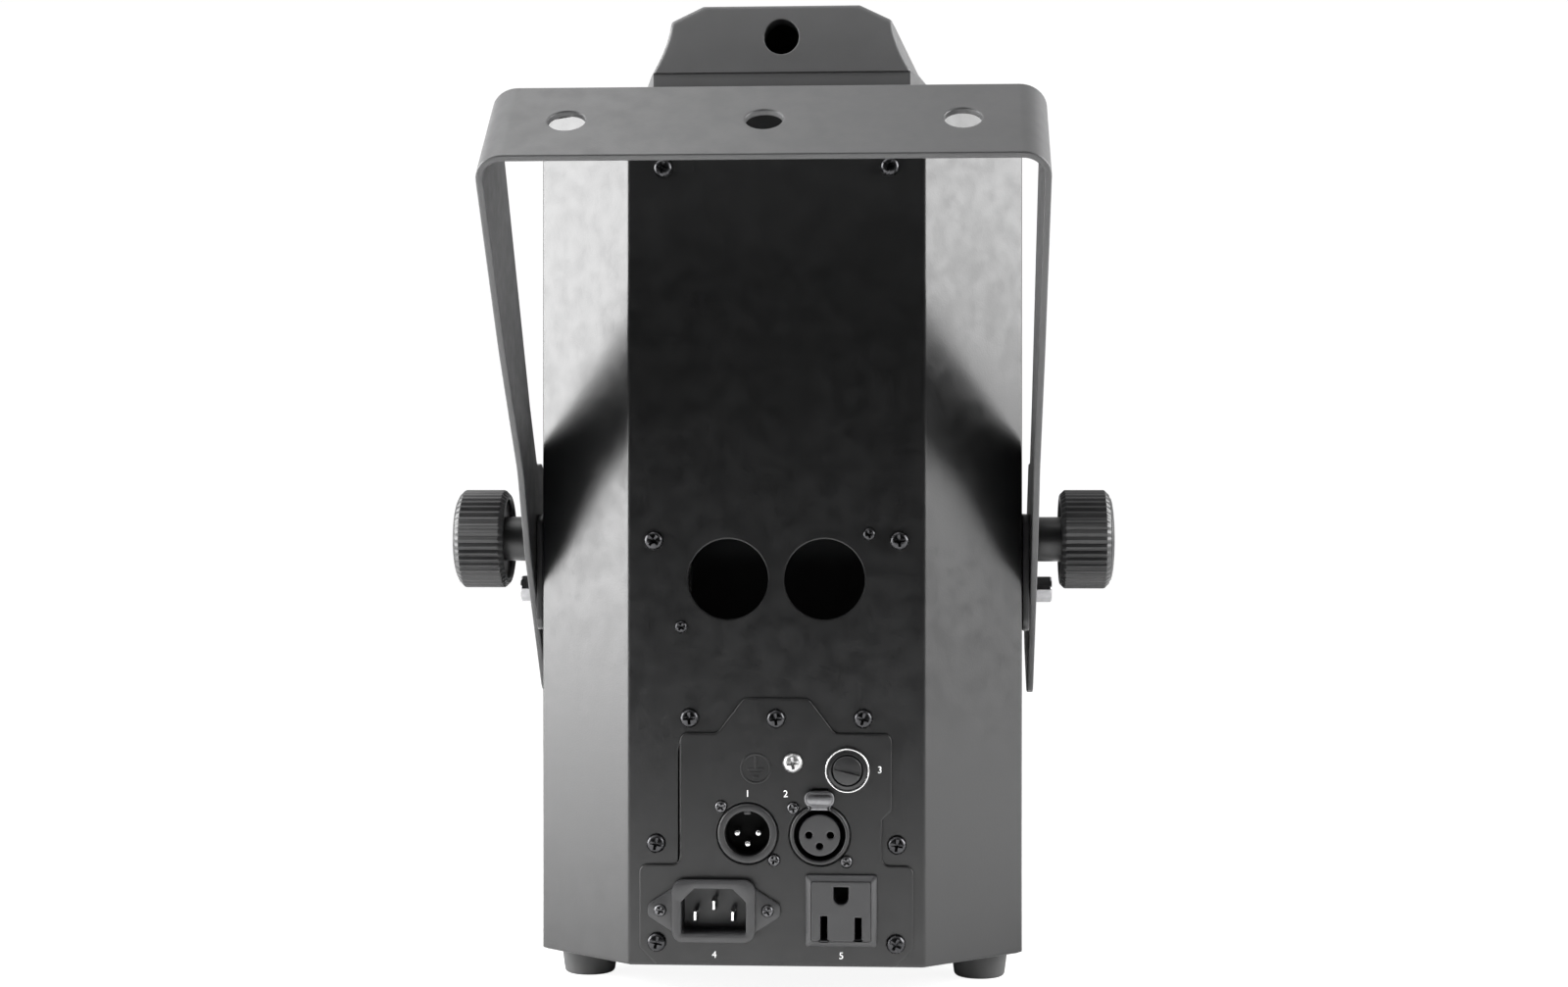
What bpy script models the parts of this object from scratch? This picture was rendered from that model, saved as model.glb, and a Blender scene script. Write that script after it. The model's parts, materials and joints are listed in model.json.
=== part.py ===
# LED scanner light: a folded steel body on rubber feet, a hanging yoke with two clamp knobs,
# and a motor-driven mirror under a moulded hood that throws the beam of the lamp below it.
# Metres, +Z up. The rear panel faces -Y and the beam leaves towards +Y. The origin is under
# the middle of the whole, on the floor.

import math

import bmesh
import bpy
from mathutils import Matrix, Vector

# Clearances
GAP = 0.0003            # between pieces that seat on each other
RUN = 0.0004            # round a shaft, stem or barrel that moves in its hole
OVER = 0.005            # how far a cutter runs past what it cuts

# Body: folded cover, base and front shell. Depths are measured from the yoke's axis.
SHEET = 0.0012
BEND = 0.002
PANEL_HALF = 0.0552
BODY_HALF = 0.0925
REAR = 0.046
CHAMFER_DEPTH = 0.033
SEAM_Y = 0.046
NOSE_Y = 0.088
NOSE_HALF = 0.062
FRONT_Y = 0.124
PIVOT_RISE = 0.158
BASE_T = 0.0015
BASE_DROP = 0.0005
SHELL_WALL = 0.0028
REBATE = 0.0014
RIM_RISE = 0.2495
BAY_H = 0.0705
BROW_DROP = 0.062
BROW_SET = 0.014
CHIN = 0.012
CHIN_R = 0.004
BROW_R = 0.02
NOSE_R = 0.012
DECK_T = 0.002
DECK_DROP = 0.0157
COLUMN_Y = 0.016
BAY_SLOPE = 0.022
BAY_LEDGE = 0.004
BAY_R = 0.004
WINDOW_R = 0.004

# Feet
FOOT_H = 0.0117
FOOT_TOP_R = 0.01125
FOOT_SOLE_R = 0.0095
FOOT_BORE_R = 0.0023
FOOT_POCKET_R = 0.005
FOOT_POCKET_H = 0.005
FOOT_BAND = 0.0012
FOOT_SOFT_H = 0.0022
FOOT_SOFT_R = 0.0014
FOOT_SCREW_H = 0.0025
FOOT_SCREW_GRIP = 0.004
FOOT_X = 0.0765
FOOT_REAR_Y = 0.006
FOOT_FRONT_Y = 0.084

# Head plate and hood
HEAD_T = 0.002
HEAD_NOSE_HALF = 0.060
HEAD_NOSE_Y = 0.108
HEAD_SHOULDER_Y = 0.080
HEAD_SHOULDER_X = 0.012
HEAD_REAR_R = 0.004
HEAD_FRONT_R = 0.020
HOOD_WALL = 0.0022
HOOD_REAR_Y = -0.012
HOOD_FRONT_Y = 0.102
HOOD_H = 0.0414
HOOD_TOP_HALF = 0.033
HOOD_CORNER_HALF = 0.0412
HOOD_CORNER_DROP = 0.0065
HOOD_SKIRT_HALF = 0.0498
HOOD_SKIRT_H = 0.0160
HOOD_BAND_DEPTH = 0.0010
HOOD_SPREAD = 0.165
HOOD_FALL = 0.05
HOOD_TIP = 0.006
EYE_R = 0.00685
EYE_DROP = 0.0120
EYE_SLEEVE = 0.014

# Yoke, its clamp and its stops
YOKE_TILT = math.radians(38.7)
YOKE_T = 0.0025
YOKE_BEND = 0.010
YOKE_LENGTH = 0.188
STRAP_HALF = 0.023
STRAP_HOLE_R = 0.0065
STRAP_HOLE_X = 0.0684
ARM_NECK_NEAR = 0.0150
ARM_NECK_FAR = 0.0110
ARM_NECK_Z = 0.045
ARM_PLATE_NEAR = 0.021
ARM_PLATE_FAR = 0.025
ARM_PLATE_TOP = 0.026
ARM_PLATE_DROP = 0.066
ARM_WAIST_R = 0.05
ARM_NECK_R = 0.03
ARM_HEEL_R = 0.01
ARM_TOE_R = 0.0195
ARM_SHOULDER_R = 0.006
ARM_SHOULDER_RISE = 0.008
SIDE_PLATE_T = 0.0026
SIDE_PLATE_RISE = 0.0097
SIDE_PLATE_DROP = 0.0353
SIDE_PLATE_BACK = 0.010
SIDE_PLATE_FRONT = 0.030
STUD_R = 0.004
STUD_LENGTH = 0.016
HUB_R = 0.00865
HUB_LENGTH = 0.0089
KNOB_R = 0.0191
KNOB_W = 0.0190
KNOB_DOME = 0.0020
KNOB_CHAMFER = 0.0022
KNOB_RECESS = 0.0018
KNOB_RIM = 0.0035
KNOB_CAP_SET = 0.0012
KNOB_CAP_DEPTH = 0.002
KNOB_WEB = 0.005
SIDE_PLATE_ROUND = 0.005
FLUTES = 44
FLUTE_DEPTH = 0.0007
PIN_R = 0.003
PIN_Y = 0.016
PIN_DROP = 0.020
PIN_HEAD_ACROSS = 0.0099
PIN_HEAD_H = 0.005
PIN_DEPTH = 0.006
YOKE_BACK = math.radians(33)
YOKE_FORTH = math.radians(26)
STOP_SPARE = math.radians(1.5)
NUT_WALL = 0.003
NUT_LENGTH = 0.010

# Rear panel: places are across and above the cover's bottom edge
VENT_R = 0.015
VENT_X = 0.018
VENT_Z = 0.1438
SCREW_R = 0.00365
SCREW_H = 0.0024
SCREW_SHANK = 0.0020
SCREW_GRIP = 0.0065
TOP_SCREW_X = 0.0423
TOP_SCREW_DROP = 0.0228
COVER_SCREWS = [(0.0458, 0.1582), (0.0449, 0.0452)]
BAR_SCREW_X = 0.0324
BAR_Z = 0.0920
PLATE_SCREW = (0.0445, 0.0087)
SMALL_SCREW_R = 0.0024
SMALL_SCREW_H = 0.0016
SMALL_GRIP = 0.003
FIXING_SHANK = 0.0012
SMALL_SCREWS = [(-0.0355, 0.1260), (0.0346, 0.1606)]
PLATE_T = 0.0012
PLATE_HALF = 0.0510
PLATE_CUT = 0.0065
PLATE_SHOULDER_Z = 0.0375
PLATE_NECK_LEFT = 0.0359
PLATE_NECK_RIGHT = 0.0394
PLATE_EAR_X = 0.0430
PLATE_EAR_Z = 0.0545
PLATE_NECK_TOP = 0.0865
PLATE_RAMP_X = 0.0220
PLATE_PEAK_X = 0.0120
PLATE_PEAK_Z = 0.0995
PLATE_ROUND = 0.003
WINDOW_HALF = 0.0366
WINDOW_LOW = 0.006
WINDOW_HIGH = 0.084

# Signal connectors
XLR_IN = (-0.0106, 0.0493)
XLR_OUT = (0.0163, 0.0489)
XLR_R = 0.0111
XLR_STAND = 0.0018
XLR_DEPTH = 0.022
XLR_FLANGE_HALF = 0.0129
XLR_FLANGE_T = 0.0015
XLR_SCREW = 0.0099
XLR_SOCKET_R = 0.0084
XLR_SOCKET_DEPTH = 0.012
XLR_GROOVE_R = 0.00965
XLR_INSERT_R = 0.0077
CONTACT_X = 0.0040
CONTACT_Z = 0.0041
XLR_PIN_R = 0.0012
XLR_PIN_LENGTH = 0.0095
XLR_HOLE_R = 0.0014
XLR_HOLE_DEPTH = 0.009
XLR_INSERT_SET = 0.0006
LATCH_HALF = 0.0055
LATCH_H = 0.0070
LATCH_T = 0.0012
LATCH_ROUND = 0.0015
LATCH_RISE = 0.0114
LATCH_TRAVEL = 0.0015
LATCH_STEM_HALF = 0.0028
LATCH_STEM_H = 0.0018
LATCH_STEM_DEPTH = 0.009

# Fuse, earth screw, mains inlet and outlet
FUSE = (0.0266, 0.0731)
FUSE_RING_R = 0.0082
FUSE_RING_T = 0.0022
FUSE_BODY_R = 0.0063
FUSE_BODY_DEPTH = 0.024
FUSE_CAP_R = 0.0054
FUSE_CAP_DEPTH = 0.008
FUSE_CAP_STAND = 0.0008
FUSE_SLOT_W = 0.0014
FUSE_SLOT_D = 0.0012
FUSE_SOFT = 0.0006
FUSE_LEAD_R = 0.0008
EARTH_SCREW = (0.0063, 0.0757)
EARTH_SCREW_R = 0.0038
INLET = (-0.0230, 0.0208)
INLET_SCREW_X = 0.020
INLET_EAR_R = 0.0047
INLET_FLANGE_SET = 0.004
INLET_ROUND = 0.002
INLET_FLANGE_T = 0.002
INLET_BEZEL_HALF = 0.01545
INLET_BEZEL_HIGH = 0.01155
INLET_BEZEL_T = 0.0022
INLET_MOUTH_HALF = 0.01205
INLET_MOUTH_HIGH = 0.0084
INLET_MOUTH_CUT = 0.005
INLET_MOUTH_DEPTH = 0.0150
INLET_BODY_HALF = 0.0132
INLET_BODY_HIGH = 0.0098
INLET_BODY_DEPTH = 0.021
BLADE_X = 0.007
BLADE_RISE = 0.004
BLADE_W = 0.002
BLADE_H = 0.004
BLADE_LENGTH = 0.013
OUTLET = (0.0243, 0.0210)
OUTLET_HALF = 0.0132
OUTLET_BEVEL = 0.0020
OUTLET_T = 0.0030
OUTLET_BODY_HALF = 0.0115
OUTLET_DEPTH = 0.019
SLOT_X = 0.00635
SLOT_W = 0.0026
SLOT_LEFT_H = 0.0092
SLOT_RIGHT_H = 0.0082
SLOT_DROP = 0.0063
SLOT_DEPTH = 0.012
EARTH_HOLE_W = 0.0056
EARTH_HOLE_H = 0.0066
EARTH_HOLE_RISE = 0.0058

# Frame inside
RAIL_INNER_X = 0.0372
RAIL_OUTER_X = 0.0508
BAR_HALF = 0.0365
BAR_H = 0.010
BAR_T = 0.0035
FLANGE_DEPTH = 0.006
BOARD_T = 0.0016
POWER_BOARD_HALF = 0.030
POWER_BOARD_DROP = 0.030
POWER_BOARD_H = 0.105
BOARD_STAND = 0.005
POST_R = 0.0025
POST_INSET = 0.004
# across and above the power board's middle, and how far each stands off it
TRANSFORMER = ((-0.022, 0.002), (-0.034, -0.006), 0.020)
COOLER = ((0.008, 0.024), (-0.036, 0.004), 0.012)
CAPACITOR_R = 0.0075
CAPACITOR_H = 0.022
CAPACITORS = [(-0.014, 0.012), (0.004, 0.014), (0.017, 0.024)]

# Light engine: heights are above the base plate
BEAM_Y = 0.070
ENGINE_HALF = 0.046
ENGINE_FRONT = 0.108
LOWER_SHELF = 0.086
UPPER_SHELF = 0.146
LED_WINDOW_HALF = 0.018
LED_HALF = 0.016
LED_DOME_R = 0.006
LED_DOME_H = 0.0045
SINK_HALF = 0.034
SINK_BASE_T = 0.005
FIN_H = 0.024
FIN_T = 0.002
FINS = 9
FAN_HALF = 0.030
FAN_T = 0.015
FAN_BORE_R = 0.0280
FAN_BLADE_R = 0.0268
FAN_HUB_R = 0.0125
FAN_BLADES = 7
FAN_BLADE_T = 0.0012
FAN_CUP_R = 0.0110
FAN_SPIDER_T = 0.0015
FAN_ROUND = 0.003
BLADE_DEEP = 0.0120
BLADE_PITCH = math.radians(50)
CONDENSER_R = 0.026
CONDENSER_WALL = 0.0025
CONDENSER_H = 0.028
CONDENSER_SEAT = 0.016
CONDENSER_LEDGE = 0.0015
CONDENSER_EDGE = 0.003
LENS_EDGE = 0.002
LENS_UNDER = 0.0025
CONDENSER_LENS_T = 0.009
WHEEL_REACH = 0.031
WHEEL_R = 0.0425
WHEEL_T = 0.0012
WHEEL_HOLES = 8
WHEEL_HOLE_R = 0.0090
WHEEL_HUB_R = 0.006
GOBO_DROP = 0.005
COLOUR_DROP = 0.011
SHAFT_R = 0.0022
SHAFT_GRIP = 0.007
WHEEL_MOTOR_R = 0.0135
WHEEL_MOTOR_H = 0.018
APERTURE_R = 0.016

# Objective lens on the deck
COLLAR_R = 0.029
COLLAR_BORE_R = 0.0270
COLLAR_RISE = 0.0120
COLLAR_DROP = 0.020
COLLAR_FLANGE_R = 0.036
COLLAR_FLANGE_T = 0.002
BARREL_WALL = 0.002
BARREL_H = 0.030
BARREL_PROUD = -0.0010
FOCUS_RANGE = 0.003
LENS_T = 0.009
LENS_SEAT = 0.005
THUMB_R = 0.0030
THUMB_LENGTH = 0.008
THUMB_SHANK_R = 0.0015
THUMB_DROP = 0.0032

# Mirror drive
MIRROR_DROP = 0.036
MIRROR_HALF = 0.028
MIRROR_REACH = 0.032
MIRROR_T = 0.003
CARRIER_T = 0.0015
CARRIER_TUBE_R = 0.004
TILT_SHAFT_R = 0.002
PIVOT_BOSS_R = 0.005
BRACKET_T = 0.002
BRACKET_HALF_Y = 0.008
BRACKET_SPARE = 0.0025
PAN_MOTOR_HALF = 0.0175
PAN_MOTOR_H = 0.022
MOTOR_ROUND = 0.003
CARRIER_SET = 0.001
PAN_BOSS_R = 0.011
PAN_HUB_R = 0.006
TILT_MOTOR_R = 0.0125
TILT_MOTOR_L = 0.016

# Control panel in the front shell
PANEL_RISE = 0.036
DISPLAY_X = -0.024
DISPLAY_HALF = 0.022
DISPLAY_HIGH = 0.008
BUTTON_R = 0.004
BUTTON_FIRST_X = 0.012
BUTTON_PITCH = 0.012
BUTTON_PROUD = 0.0015
BUTTON_TRAVEL = 0.0008
BUTTON_LIP = 0.001
BUTTON_STEM_R = 0.0015
BUTTON_SOFT = 0.0006
DISPLAY_ROUND = 0.0012
CONTROL_BOARD_HALF = 0.058
CONTROL_BOARD_HIGH = 0.022
CONTROL_DEPTH = 0.0085
SIDE_SLOTS = 6
SIDE_SLOT_W = 0.003
SIDE_SLOT_PITCH = 0.0065
SIDE_SLOT_LOW = 0.045
SIDE_SLOT_HIGH = 0.095
SIDE_SLOT_Y = 0.052
INTAKE_SLOTS = 5
INTAKE_W = 0.004
INTAKE_PITCH = 0.010
INTAKE_HALF = 0.026

# Heights and depths that follow from the sizes above
BASE_Z = FOOT_H + GAP
BASE_TOP = BASE_Z + BASE_T
COVER_Z = BASE_Z + BASE_DROP
COVER_H = RIM_RISE + BAY_H
COVER_TOP = COVER_Z + COVER_H
PIVOT_Z = COVER_Z + PIVOT_RISE
SHELL_Z = BASE_TOP + GAP
RIM_Z = COVER_Z + RIM_RISE
BROW_Z = RIM_Z - BROW_DROP
DECK_TOP = RIM_Z - DECK_DROP
DECK_Z = DECK_TOP - DECK_T
HEAD_Z = COVER_TOP + GAP
HEAD_TOP = HEAD_Z + HEAD_T
HOOD_Z = HEAD_TOP + GAP
HOOD_TOP = HOOD_Z + HOOD_H
MIRROR_Z = HEAD_Z - MIRROR_DROP
PANEL_Z = COVER_Z + PANEL_RISE
SIDE_FACE = BODY_HALF + GAP + SIDE_PLATE_T
ARM_INNER = SIDE_FACE + GAP
ARM_OUTER = ARM_INNER + YOKE_T
PLATE_FACE = -REAR - GAP - PLATE_T
PIN_REACH = math.hypot(PIN_Y, PIN_DROP)
YOKE_REAR = -YOKE_LENGTH * math.sin(YOKE_TILT) - STRAP_HALF * math.cos(YOKE_TILT)
SHIFT_Y = -(YOKE_REAR + FRONT_Y + BUTTON_PROUD) / 2
AWAY = 2 * BODY_HALF    # clear of the body on every side

# Colours as linear red, green and blue, with roughness and metallic
COLOURS = {
    "black_paint": ((0.018, 0.018, 0.019), 0.55, 0.0),
    "dark_paint": ((0.030, 0.030, 0.032), 0.50, 0.0),
    "hood_plastic": ((0.090, 0.090, 0.092), 0.60, 0.0),
    "shell_plastic": ((0.030, 0.030, 0.032), 0.60, 0.0),
    "knob_plastic": ((0.035, 0.035, 0.037), 0.50, 0.0),
    "rubber": ((0.020, 0.020, 0.020), 0.85, 0.0),
    "socket_plastic": ((0.022, 0.022, 0.024), 0.45, 0.0),
    "black_screw": ((0.040, 0.040, 0.042), 0.35, 0.8),
    "bright_steel": ((0.62, 0.62, 0.62), 0.25, 1.0),
    "plated_steel": ((0.50, 0.50, 0.50), 0.40, 1.0),
    "aluminium": ((0.60, 0.60, 0.61), 0.45, 1.0),
    "mirror": ((0.85, 0.86, 0.88), 0.03, 1.0),
    "glass": ((0.80, 0.86, 0.88), 0.05, 0.0),
    "board": ((0.02, 0.10, 0.05), 0.50, 0.0),
    "motor": ((0.025, 0.025, 0.027), 0.50, 0.3),
    "display": ((0.008, 0.010, 0.014), 0.15, 0.0),
    "led": ((0.90, 0.86, 0.60), 0.30, 0.0),
}

for old in list(bpy.data.objects):
    bpy.data.objects.remove(old, do_unlink=True)

model = bpy.data.collections.new("led_scanner_light")
tools = bpy.data.collections.new("cutters")
bpy.context.scene.collection.children.link(model)
bpy.context.scene.collection.children.link(tools)


def axis_empty(name, place, parent=None, tilt=0.0):
    empty = bpy.data.objects.new(name, None)
    empty.empty_display_size = 0.02
    empty.location = place
    empty.rotation_euler.x = tilt
    empty.parent = parent
    model.objects.link(empty)
    return empty


root = axis_empty("scanner", (0, SHIFT_Y, 0))
yoke_axis = axis_empty("yoke_axis", (0, 0, PIVOT_Z), root, YOKE_TILT)
pan_axis = axis_empty("pan_axis", (0, BEAM_Y, MIRROR_Z), root)
tilt_axis = axis_empty("tilt_axis", (0, 0, 0), pan_axis, math.radians(45))


def material(name):
    found = bpy.data.materials.get(name)
    if found:
        return found
    colour, roughness, metallic = COLOURS[name]
    found = bpy.data.materials.new(name)
    found.use_nodes = True
    shader = found.node_tree.nodes["Principled BSDF"]
    shader.inputs["Base Color"].default_value = (*colour, 1)
    shader.inputs["Roughness"].default_value = roughness
    shader.inputs["Metallic"].default_value = metallic
    found.diffuse_color = (*colour, 1)
    return found


# Shapes, each added to a bmesh in the coordinates of the piece's parent

def along(axis, a, b, c):
    # a and b lie across the axis: (y, z) for X, (x, z) for Y and (x, y) for Z
    if axis == "X":
        return Vector((c, a, b))
    if axis == "Y":
        return Vector((a, c, b))
    return Vector((a, b, c))


def add_box(bm, x, y, z):
    size = [x[1] - x[0], y[1] - y[0], z[1] - z[0]]
    middle = [(x[0] + x[1]) / 2, (y[0] + y[1]) / 2, (z[0] + z[1]) / 2]
    bmesh.ops.create_cube(bm, size=1, matrix=Matrix.Translation(middle) @ Matrix.Diagonal((*size, 1)))


def add_rod(bm, axis, centre, radius, span, sides=16, end_radius=None):
    turn = {"X": Matrix.Rotation(math.pi / 2, 4, "Y"), "Y": Matrix.Rotation(-math.pi / 2, 4, "X"),
            "Z": Matrix.Identity(4)}[axis]
    middle = along(axis, *centre, (span[0] + span[1]) / 2)
    last = radius if end_radius is None else end_radius
    bmesh.ops.create_cone(bm, cap_ends=True, segments=sides, radius1=radius, radius2=last,
                          depth=abs(span[1] - span[0]), matrix=Matrix.Translation(middle) @ turn)


def add_prism(bm, axis, outline, span):
    first = [bm.verts.new(along(axis, a, b, span[0])) for a, b in outline]
    face = bm.faces.new(first)
    grown = bmesh.ops.extrude_face_region(bm, geom=[face])["geom"]
    moved = [v for v in grown if isinstance(v, bmesh.types.BMVert)]
    bmesh.ops.translate(bm, verts=moved, vec=along(axis, 0, 0, span[1] - span[0]))


def add_rings(bm, rings):
    # a loft: closed rings of equal count, bridged in turn and capped at both ends
    levels = [[bm.verts.new(point) for point in ring] for ring in rings]
    count = len(levels[0])
    for low, high in zip(levels, levels[1:]):
        for i in range(count):
            j = (i + 1) % count
            bm.faces.new([low[i], low[j], high[j], high[i]])
    bm.faces.new(list(reversed(levels[0])))
    bm.faces.new(levels[-1])


def turned(profile, sides):
    # a closed outline (radius, height) swept round Z by a Screw modifier, outer side downwards
    mesh = bpy.data.meshes.new("profile")
    mesh.from_pydata([(r, 0, h) for r, h in profile],
                     [(i, i + 1) for i in range(len(profile) - 1)]
                     + ([(len(profile) - 1, 0)] if profile[0][0] > 0 else []), [])
    sweep = bpy.data.objects.new("profile", mesh)
    tools.objects.link(sweep)
    screw = sweep.modifiers.new("turn", "SCREW")
    screw.steps = screw.render_steps = sides
    screw.use_merge_vertices = True
    screw.merge_threshold = 0.00001
    screw.use_normal_calculate = True
    made = bpy.data.meshes.new_from_object(sweep.evaluated_get(bpy.context.evaluated_depsgraph_get()))
    bpy.data.objects.remove(sweep, do_unlink=True)
    return made


def add_mesh(bm, mesh, place, facing="Z"):
    # facing: the direction that the mesh's own +Z is turned to
    turn = {"Z": Matrix.Identity(4), "-Z": Matrix.Rotation(math.pi, 4, "X"),
            "X": Matrix.Rotation(math.pi / 2, 4, "Y"), "-X": Matrix.Rotation(-math.pi / 2, 4, "Y"),
            "-Y": Matrix.Rotation(math.pi / 2, 4, "X"), "Y": Matrix.Rotation(-math.pi / 2, 4, "X")}
    copy = bmesh.new()
    copy.from_mesh(mesh)
    copy.transform(Matrix.Translation(place) @ turn[facing])
    scratch = bpy.data.meshes.new("scratch")
    copy.to_mesh(scratch)
    copy.free()
    bm.from_mesh(scratch)
    bpy.data.meshes.remove(scratch)


def rounded(corners, steps=2, closed=True):
    # corners are (a, b, radius); each rounded one becomes an arc of that radius
    points = []
    count = len(corners)
    for i, (a, b, radius) in enumerate(corners):
        here = Vector((a, b))
        if radius == 0 or (not closed and i in (0, count - 1)):
            points.append((a, b))
            continue
        back = (Vector(corners[i - 1][:2]) - here).normalized()
        on = (Vector(corners[(i + 1) % count][:2]) - here).normalized()
        half = back.angle(on) / 2
        start = here + back * (radius / math.tan(half))
        end = here + on * (radius / math.tan(half))
        centre = here + (back + on).normalized() * (radius / math.sin(half))
        first = math.atan2(*(start - centre).yx)
        sweep = (math.atan2(*(end - centre).yx) - first + math.pi) % (2 * math.pi) - math.pi
        for k in range(steps + 1):
            angle = first + sweep * k / steps
            points.append((centre.x + radius * math.cos(angle), centre.y + radius * math.sin(angle)))
    return points


def inset(corners, distance):
    # the outline drawn in by a distance; corners run anticlockwise
    moved = []
    count = len(corners)
    for i, (a, b, radius) in enumerate(corners):
        here = Vector((a, b))
        back = (here - Vector(corners[i - 1][:2])).normalized()
        on = (Vector(corners[(i + 1) % count][:2]) - here).normalized()
        left = Vector((-back.y, back.x)) + Vector((-on.y, on.x))
        left = left.normalized() * distance / math.cos(back.angle(on) / 2)
        moved.append((a + left.x, b + left.y, max(radius - distance, 0)))
    return moved


def rectangle(centre, half_a, half_b, radius=0.0, steps=2):
    a, b = centre
    return rounded([(a - half_a, b - half_b, radius), (a + half_a, b - half_b, radius),
                    (a + half_a, b + half_b, radius), (a - half_a, b + half_b, radius)], steps)


# Objects

def make(name, bm, colour, parent=root, origin=None):
    bmesh.ops.recalc_face_normals(bm, faces=bm.faces)
    if origin is None:
        low = [min(v.co[i] for v in bm.verts) for i in range(3)]
        high = [max(v.co[i] for v in bm.verts) for i in range(3)]
        origin = [(low[i] + high[i]) / 2 for i in range(3)]
    bmesh.ops.translate(bm, verts=bm.verts, vec=-Vector(origin))
    mesh = bpy.data.meshes.new(name)
    bm.to_mesh(mesh)
    bm.free()
    piece = bpy.data.objects.new(name, mesh)
    piece.location = origin
    piece.parent = parent
    model.objects.link(piece)
    mesh.materials.append(material(colour))
    mesh.shade_smooth()
    mesh.set_sharp_from_angle(angle=math.radians(35))
    return piece


def tool(bm, parent=root):
    bmesh.ops.recalc_face_normals(bm, faces=bm.faces)
    mesh = bpy.data.meshes.new("cutter")
    bm.to_mesh(mesh)
    bm.free()
    piece = bpy.data.objects.new("cutter", mesh)
    piece.parent = parent
    piece.hide_render = True
    piece.display_type = "WIRE"
    tools.objects.link(piece)
    return piece


def combine(piece, operation, other):
    boolean = piece.modifiers.new(operation.lower(), "BOOLEAN")
    boolean.operation = operation
    boolean.solver = "EXACT"
    boolean.object = other


def cut(piece, bm, parent=root):
    combine(piece, "DIFFERENCE", tool(bm, parent))


def join(piece, bm, parent=root):
    combine(piece, "UNION", tool(bm, parent))


def on_rear(place):
    # a place given across and above the cover's bottom edge, as x and z
    return place[0], COVER_Z + place[1]


def both_sides(places):
    return [(side * x, z) for x, z in places for side in (-1, 1)]


def pan_head(radius, height, shank, grip, sides=8):
    # a domed screw: head above zero, shank below it
    return turned([(0, height), (radius * 0.8, height * 0.75), (radius, 0), (shank, 0), (shank, -grip),
                   (0, -grip)], sides)


FOOTPRINT = [
    (-PANEL_HALF, -REAR, BEND), (PANEL_HALF, -REAR, BEND),
    (BODY_HALF, CHAMFER_DEPTH - REAR, BEND), (BODY_HALF, NOSE_Y, NOSE_R),
    (NOSE_HALF, FRONT_Y, NOSE_R), (-NOSE_HALF, FRONT_Y, NOSE_R),
    (-BODY_HALF, NOSE_Y, NOSE_R), (-BODY_HALF, CHAMFER_DEPTH - REAR, BEND)]


def cover_screws():
    return [(TOP_SCREW_X, COVER_H - TOP_SCREW_DROP)] + COVER_SCREWS


def rear_hole_places():
    places = both_sides(cover_screws() + [PLATE_SCREW, (BAR_SCREW_X, BAR_Z)]) + [(0, BAR_Z)]
    return [on_rear(place) for place in places]


# Cover, base, frame

def build_rear_cover():
    side = CHAMFER_DEPTH - REAR
    path = rounded([(-BODY_HALF, SEAM_Y, 0), (-BODY_HALF, side, BEND), (-PANEL_HALF, -REAR, BEND),
                    (PANEL_HALF, -REAR, BEND), (BODY_HALF, side, BEND), (BODY_HALF, SEAM_Y, 0)], 3, False)
    low = [(x, y, COVER_Z) for x, y in path]
    high = [(x, y, COVER_TOP) for x, y in path]
    mesh = bpy.data.meshes.new("rear_cover")
    count = len(path)
    mesh.from_pydata(low + high, [], [(i, i + 1, count + i + 1, count + i) for i in range(count - 1)])
    mesh.materials.append(material("black_paint"))
    mesh.shade_smooth()
    mesh.set_sharp_from_angle(angle=math.radians(35))
    cover = bpy.data.objects.new("rear_cover", mesh)
    cover.parent = root
    model.objects.link(cover)
    wall = cover.modifiers.new("sheet", "SOLIDIFY")
    wall.thickness = SHEET
    wall.offset = -1
    wall.use_even_offset = True
    nuts = bmesh.new()
    deep = BODY_HALF - SHEET - NUT_LENGTH
    for side in (-1, 1):
        for (y, z), radius in clamp_holes():
            add_rod(nuts, "X", (y, z), radius + NUT_WALL, (side * deep, side * (BODY_HALF - SHEET / 2)), 12)
    join(cover, nuts)
    through = (-REAR - SHEET, -REAR + 2 * SHEET)
    holes = bmesh.new()
    for x in (-VENT_X, VENT_X):
        add_rod(holes, "Y", on_rear((x, VENT_Z)), VENT_R, through, 32)
    for place in rear_hole_places():
        add_rod(holes, "Y", place, SCREW_SHANK + GAP * 2, through, 6)
    for place in SMALL_SCREWS:
        add_rod(holes, "Y", on_rear(place), FIXING_SHANK + GAP * 2, through, 6)
    add_prism(holes, "Y", rectangle((0, COVER_Z + (WINDOW_LOW + WINDOW_HIGH) / 2), WINDOW_HALF,
                                    (WINDOW_HIGH - WINDOW_LOW) / 2, WINDOW_R), through)
    for side in (-1, 1):
        for place, radius in clamp_holes():
            add_rod(holes, "X", place, radius + GAP, (side * (deep - SHEET), side * (BODY_HALF + SHEET)), 12)
    cut(cover, holes)
    bay = bmesh.new()
    ahead = SEAM_Y + SHEET
    add_prism(bay, "X", rounded([(ahead, RIM_Z, 0), (SEAM_Y - BAY_LEDGE, RIM_Z, BAY_R * 0.75),
                                 (COLUMN_Y, RIM_Z + BAY_SLOPE, BAY_R), (COLUMN_Y, COVER_TOP + SHEET, 0),
                                 (ahead, COVER_TOP + SHEET, 0)]), (-BODY_HALF - SHEET, BODY_HALF + SHEET))
    cut(cover, bay)


def clamp_holes():
    # the stud's and the stop pin's places in the body's side, with their radii
    return [((0, PIVOT_Z), STUD_R), ((PIN_Y, PIVOT_Z - PIN_DROP), PIN_R)]


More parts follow.
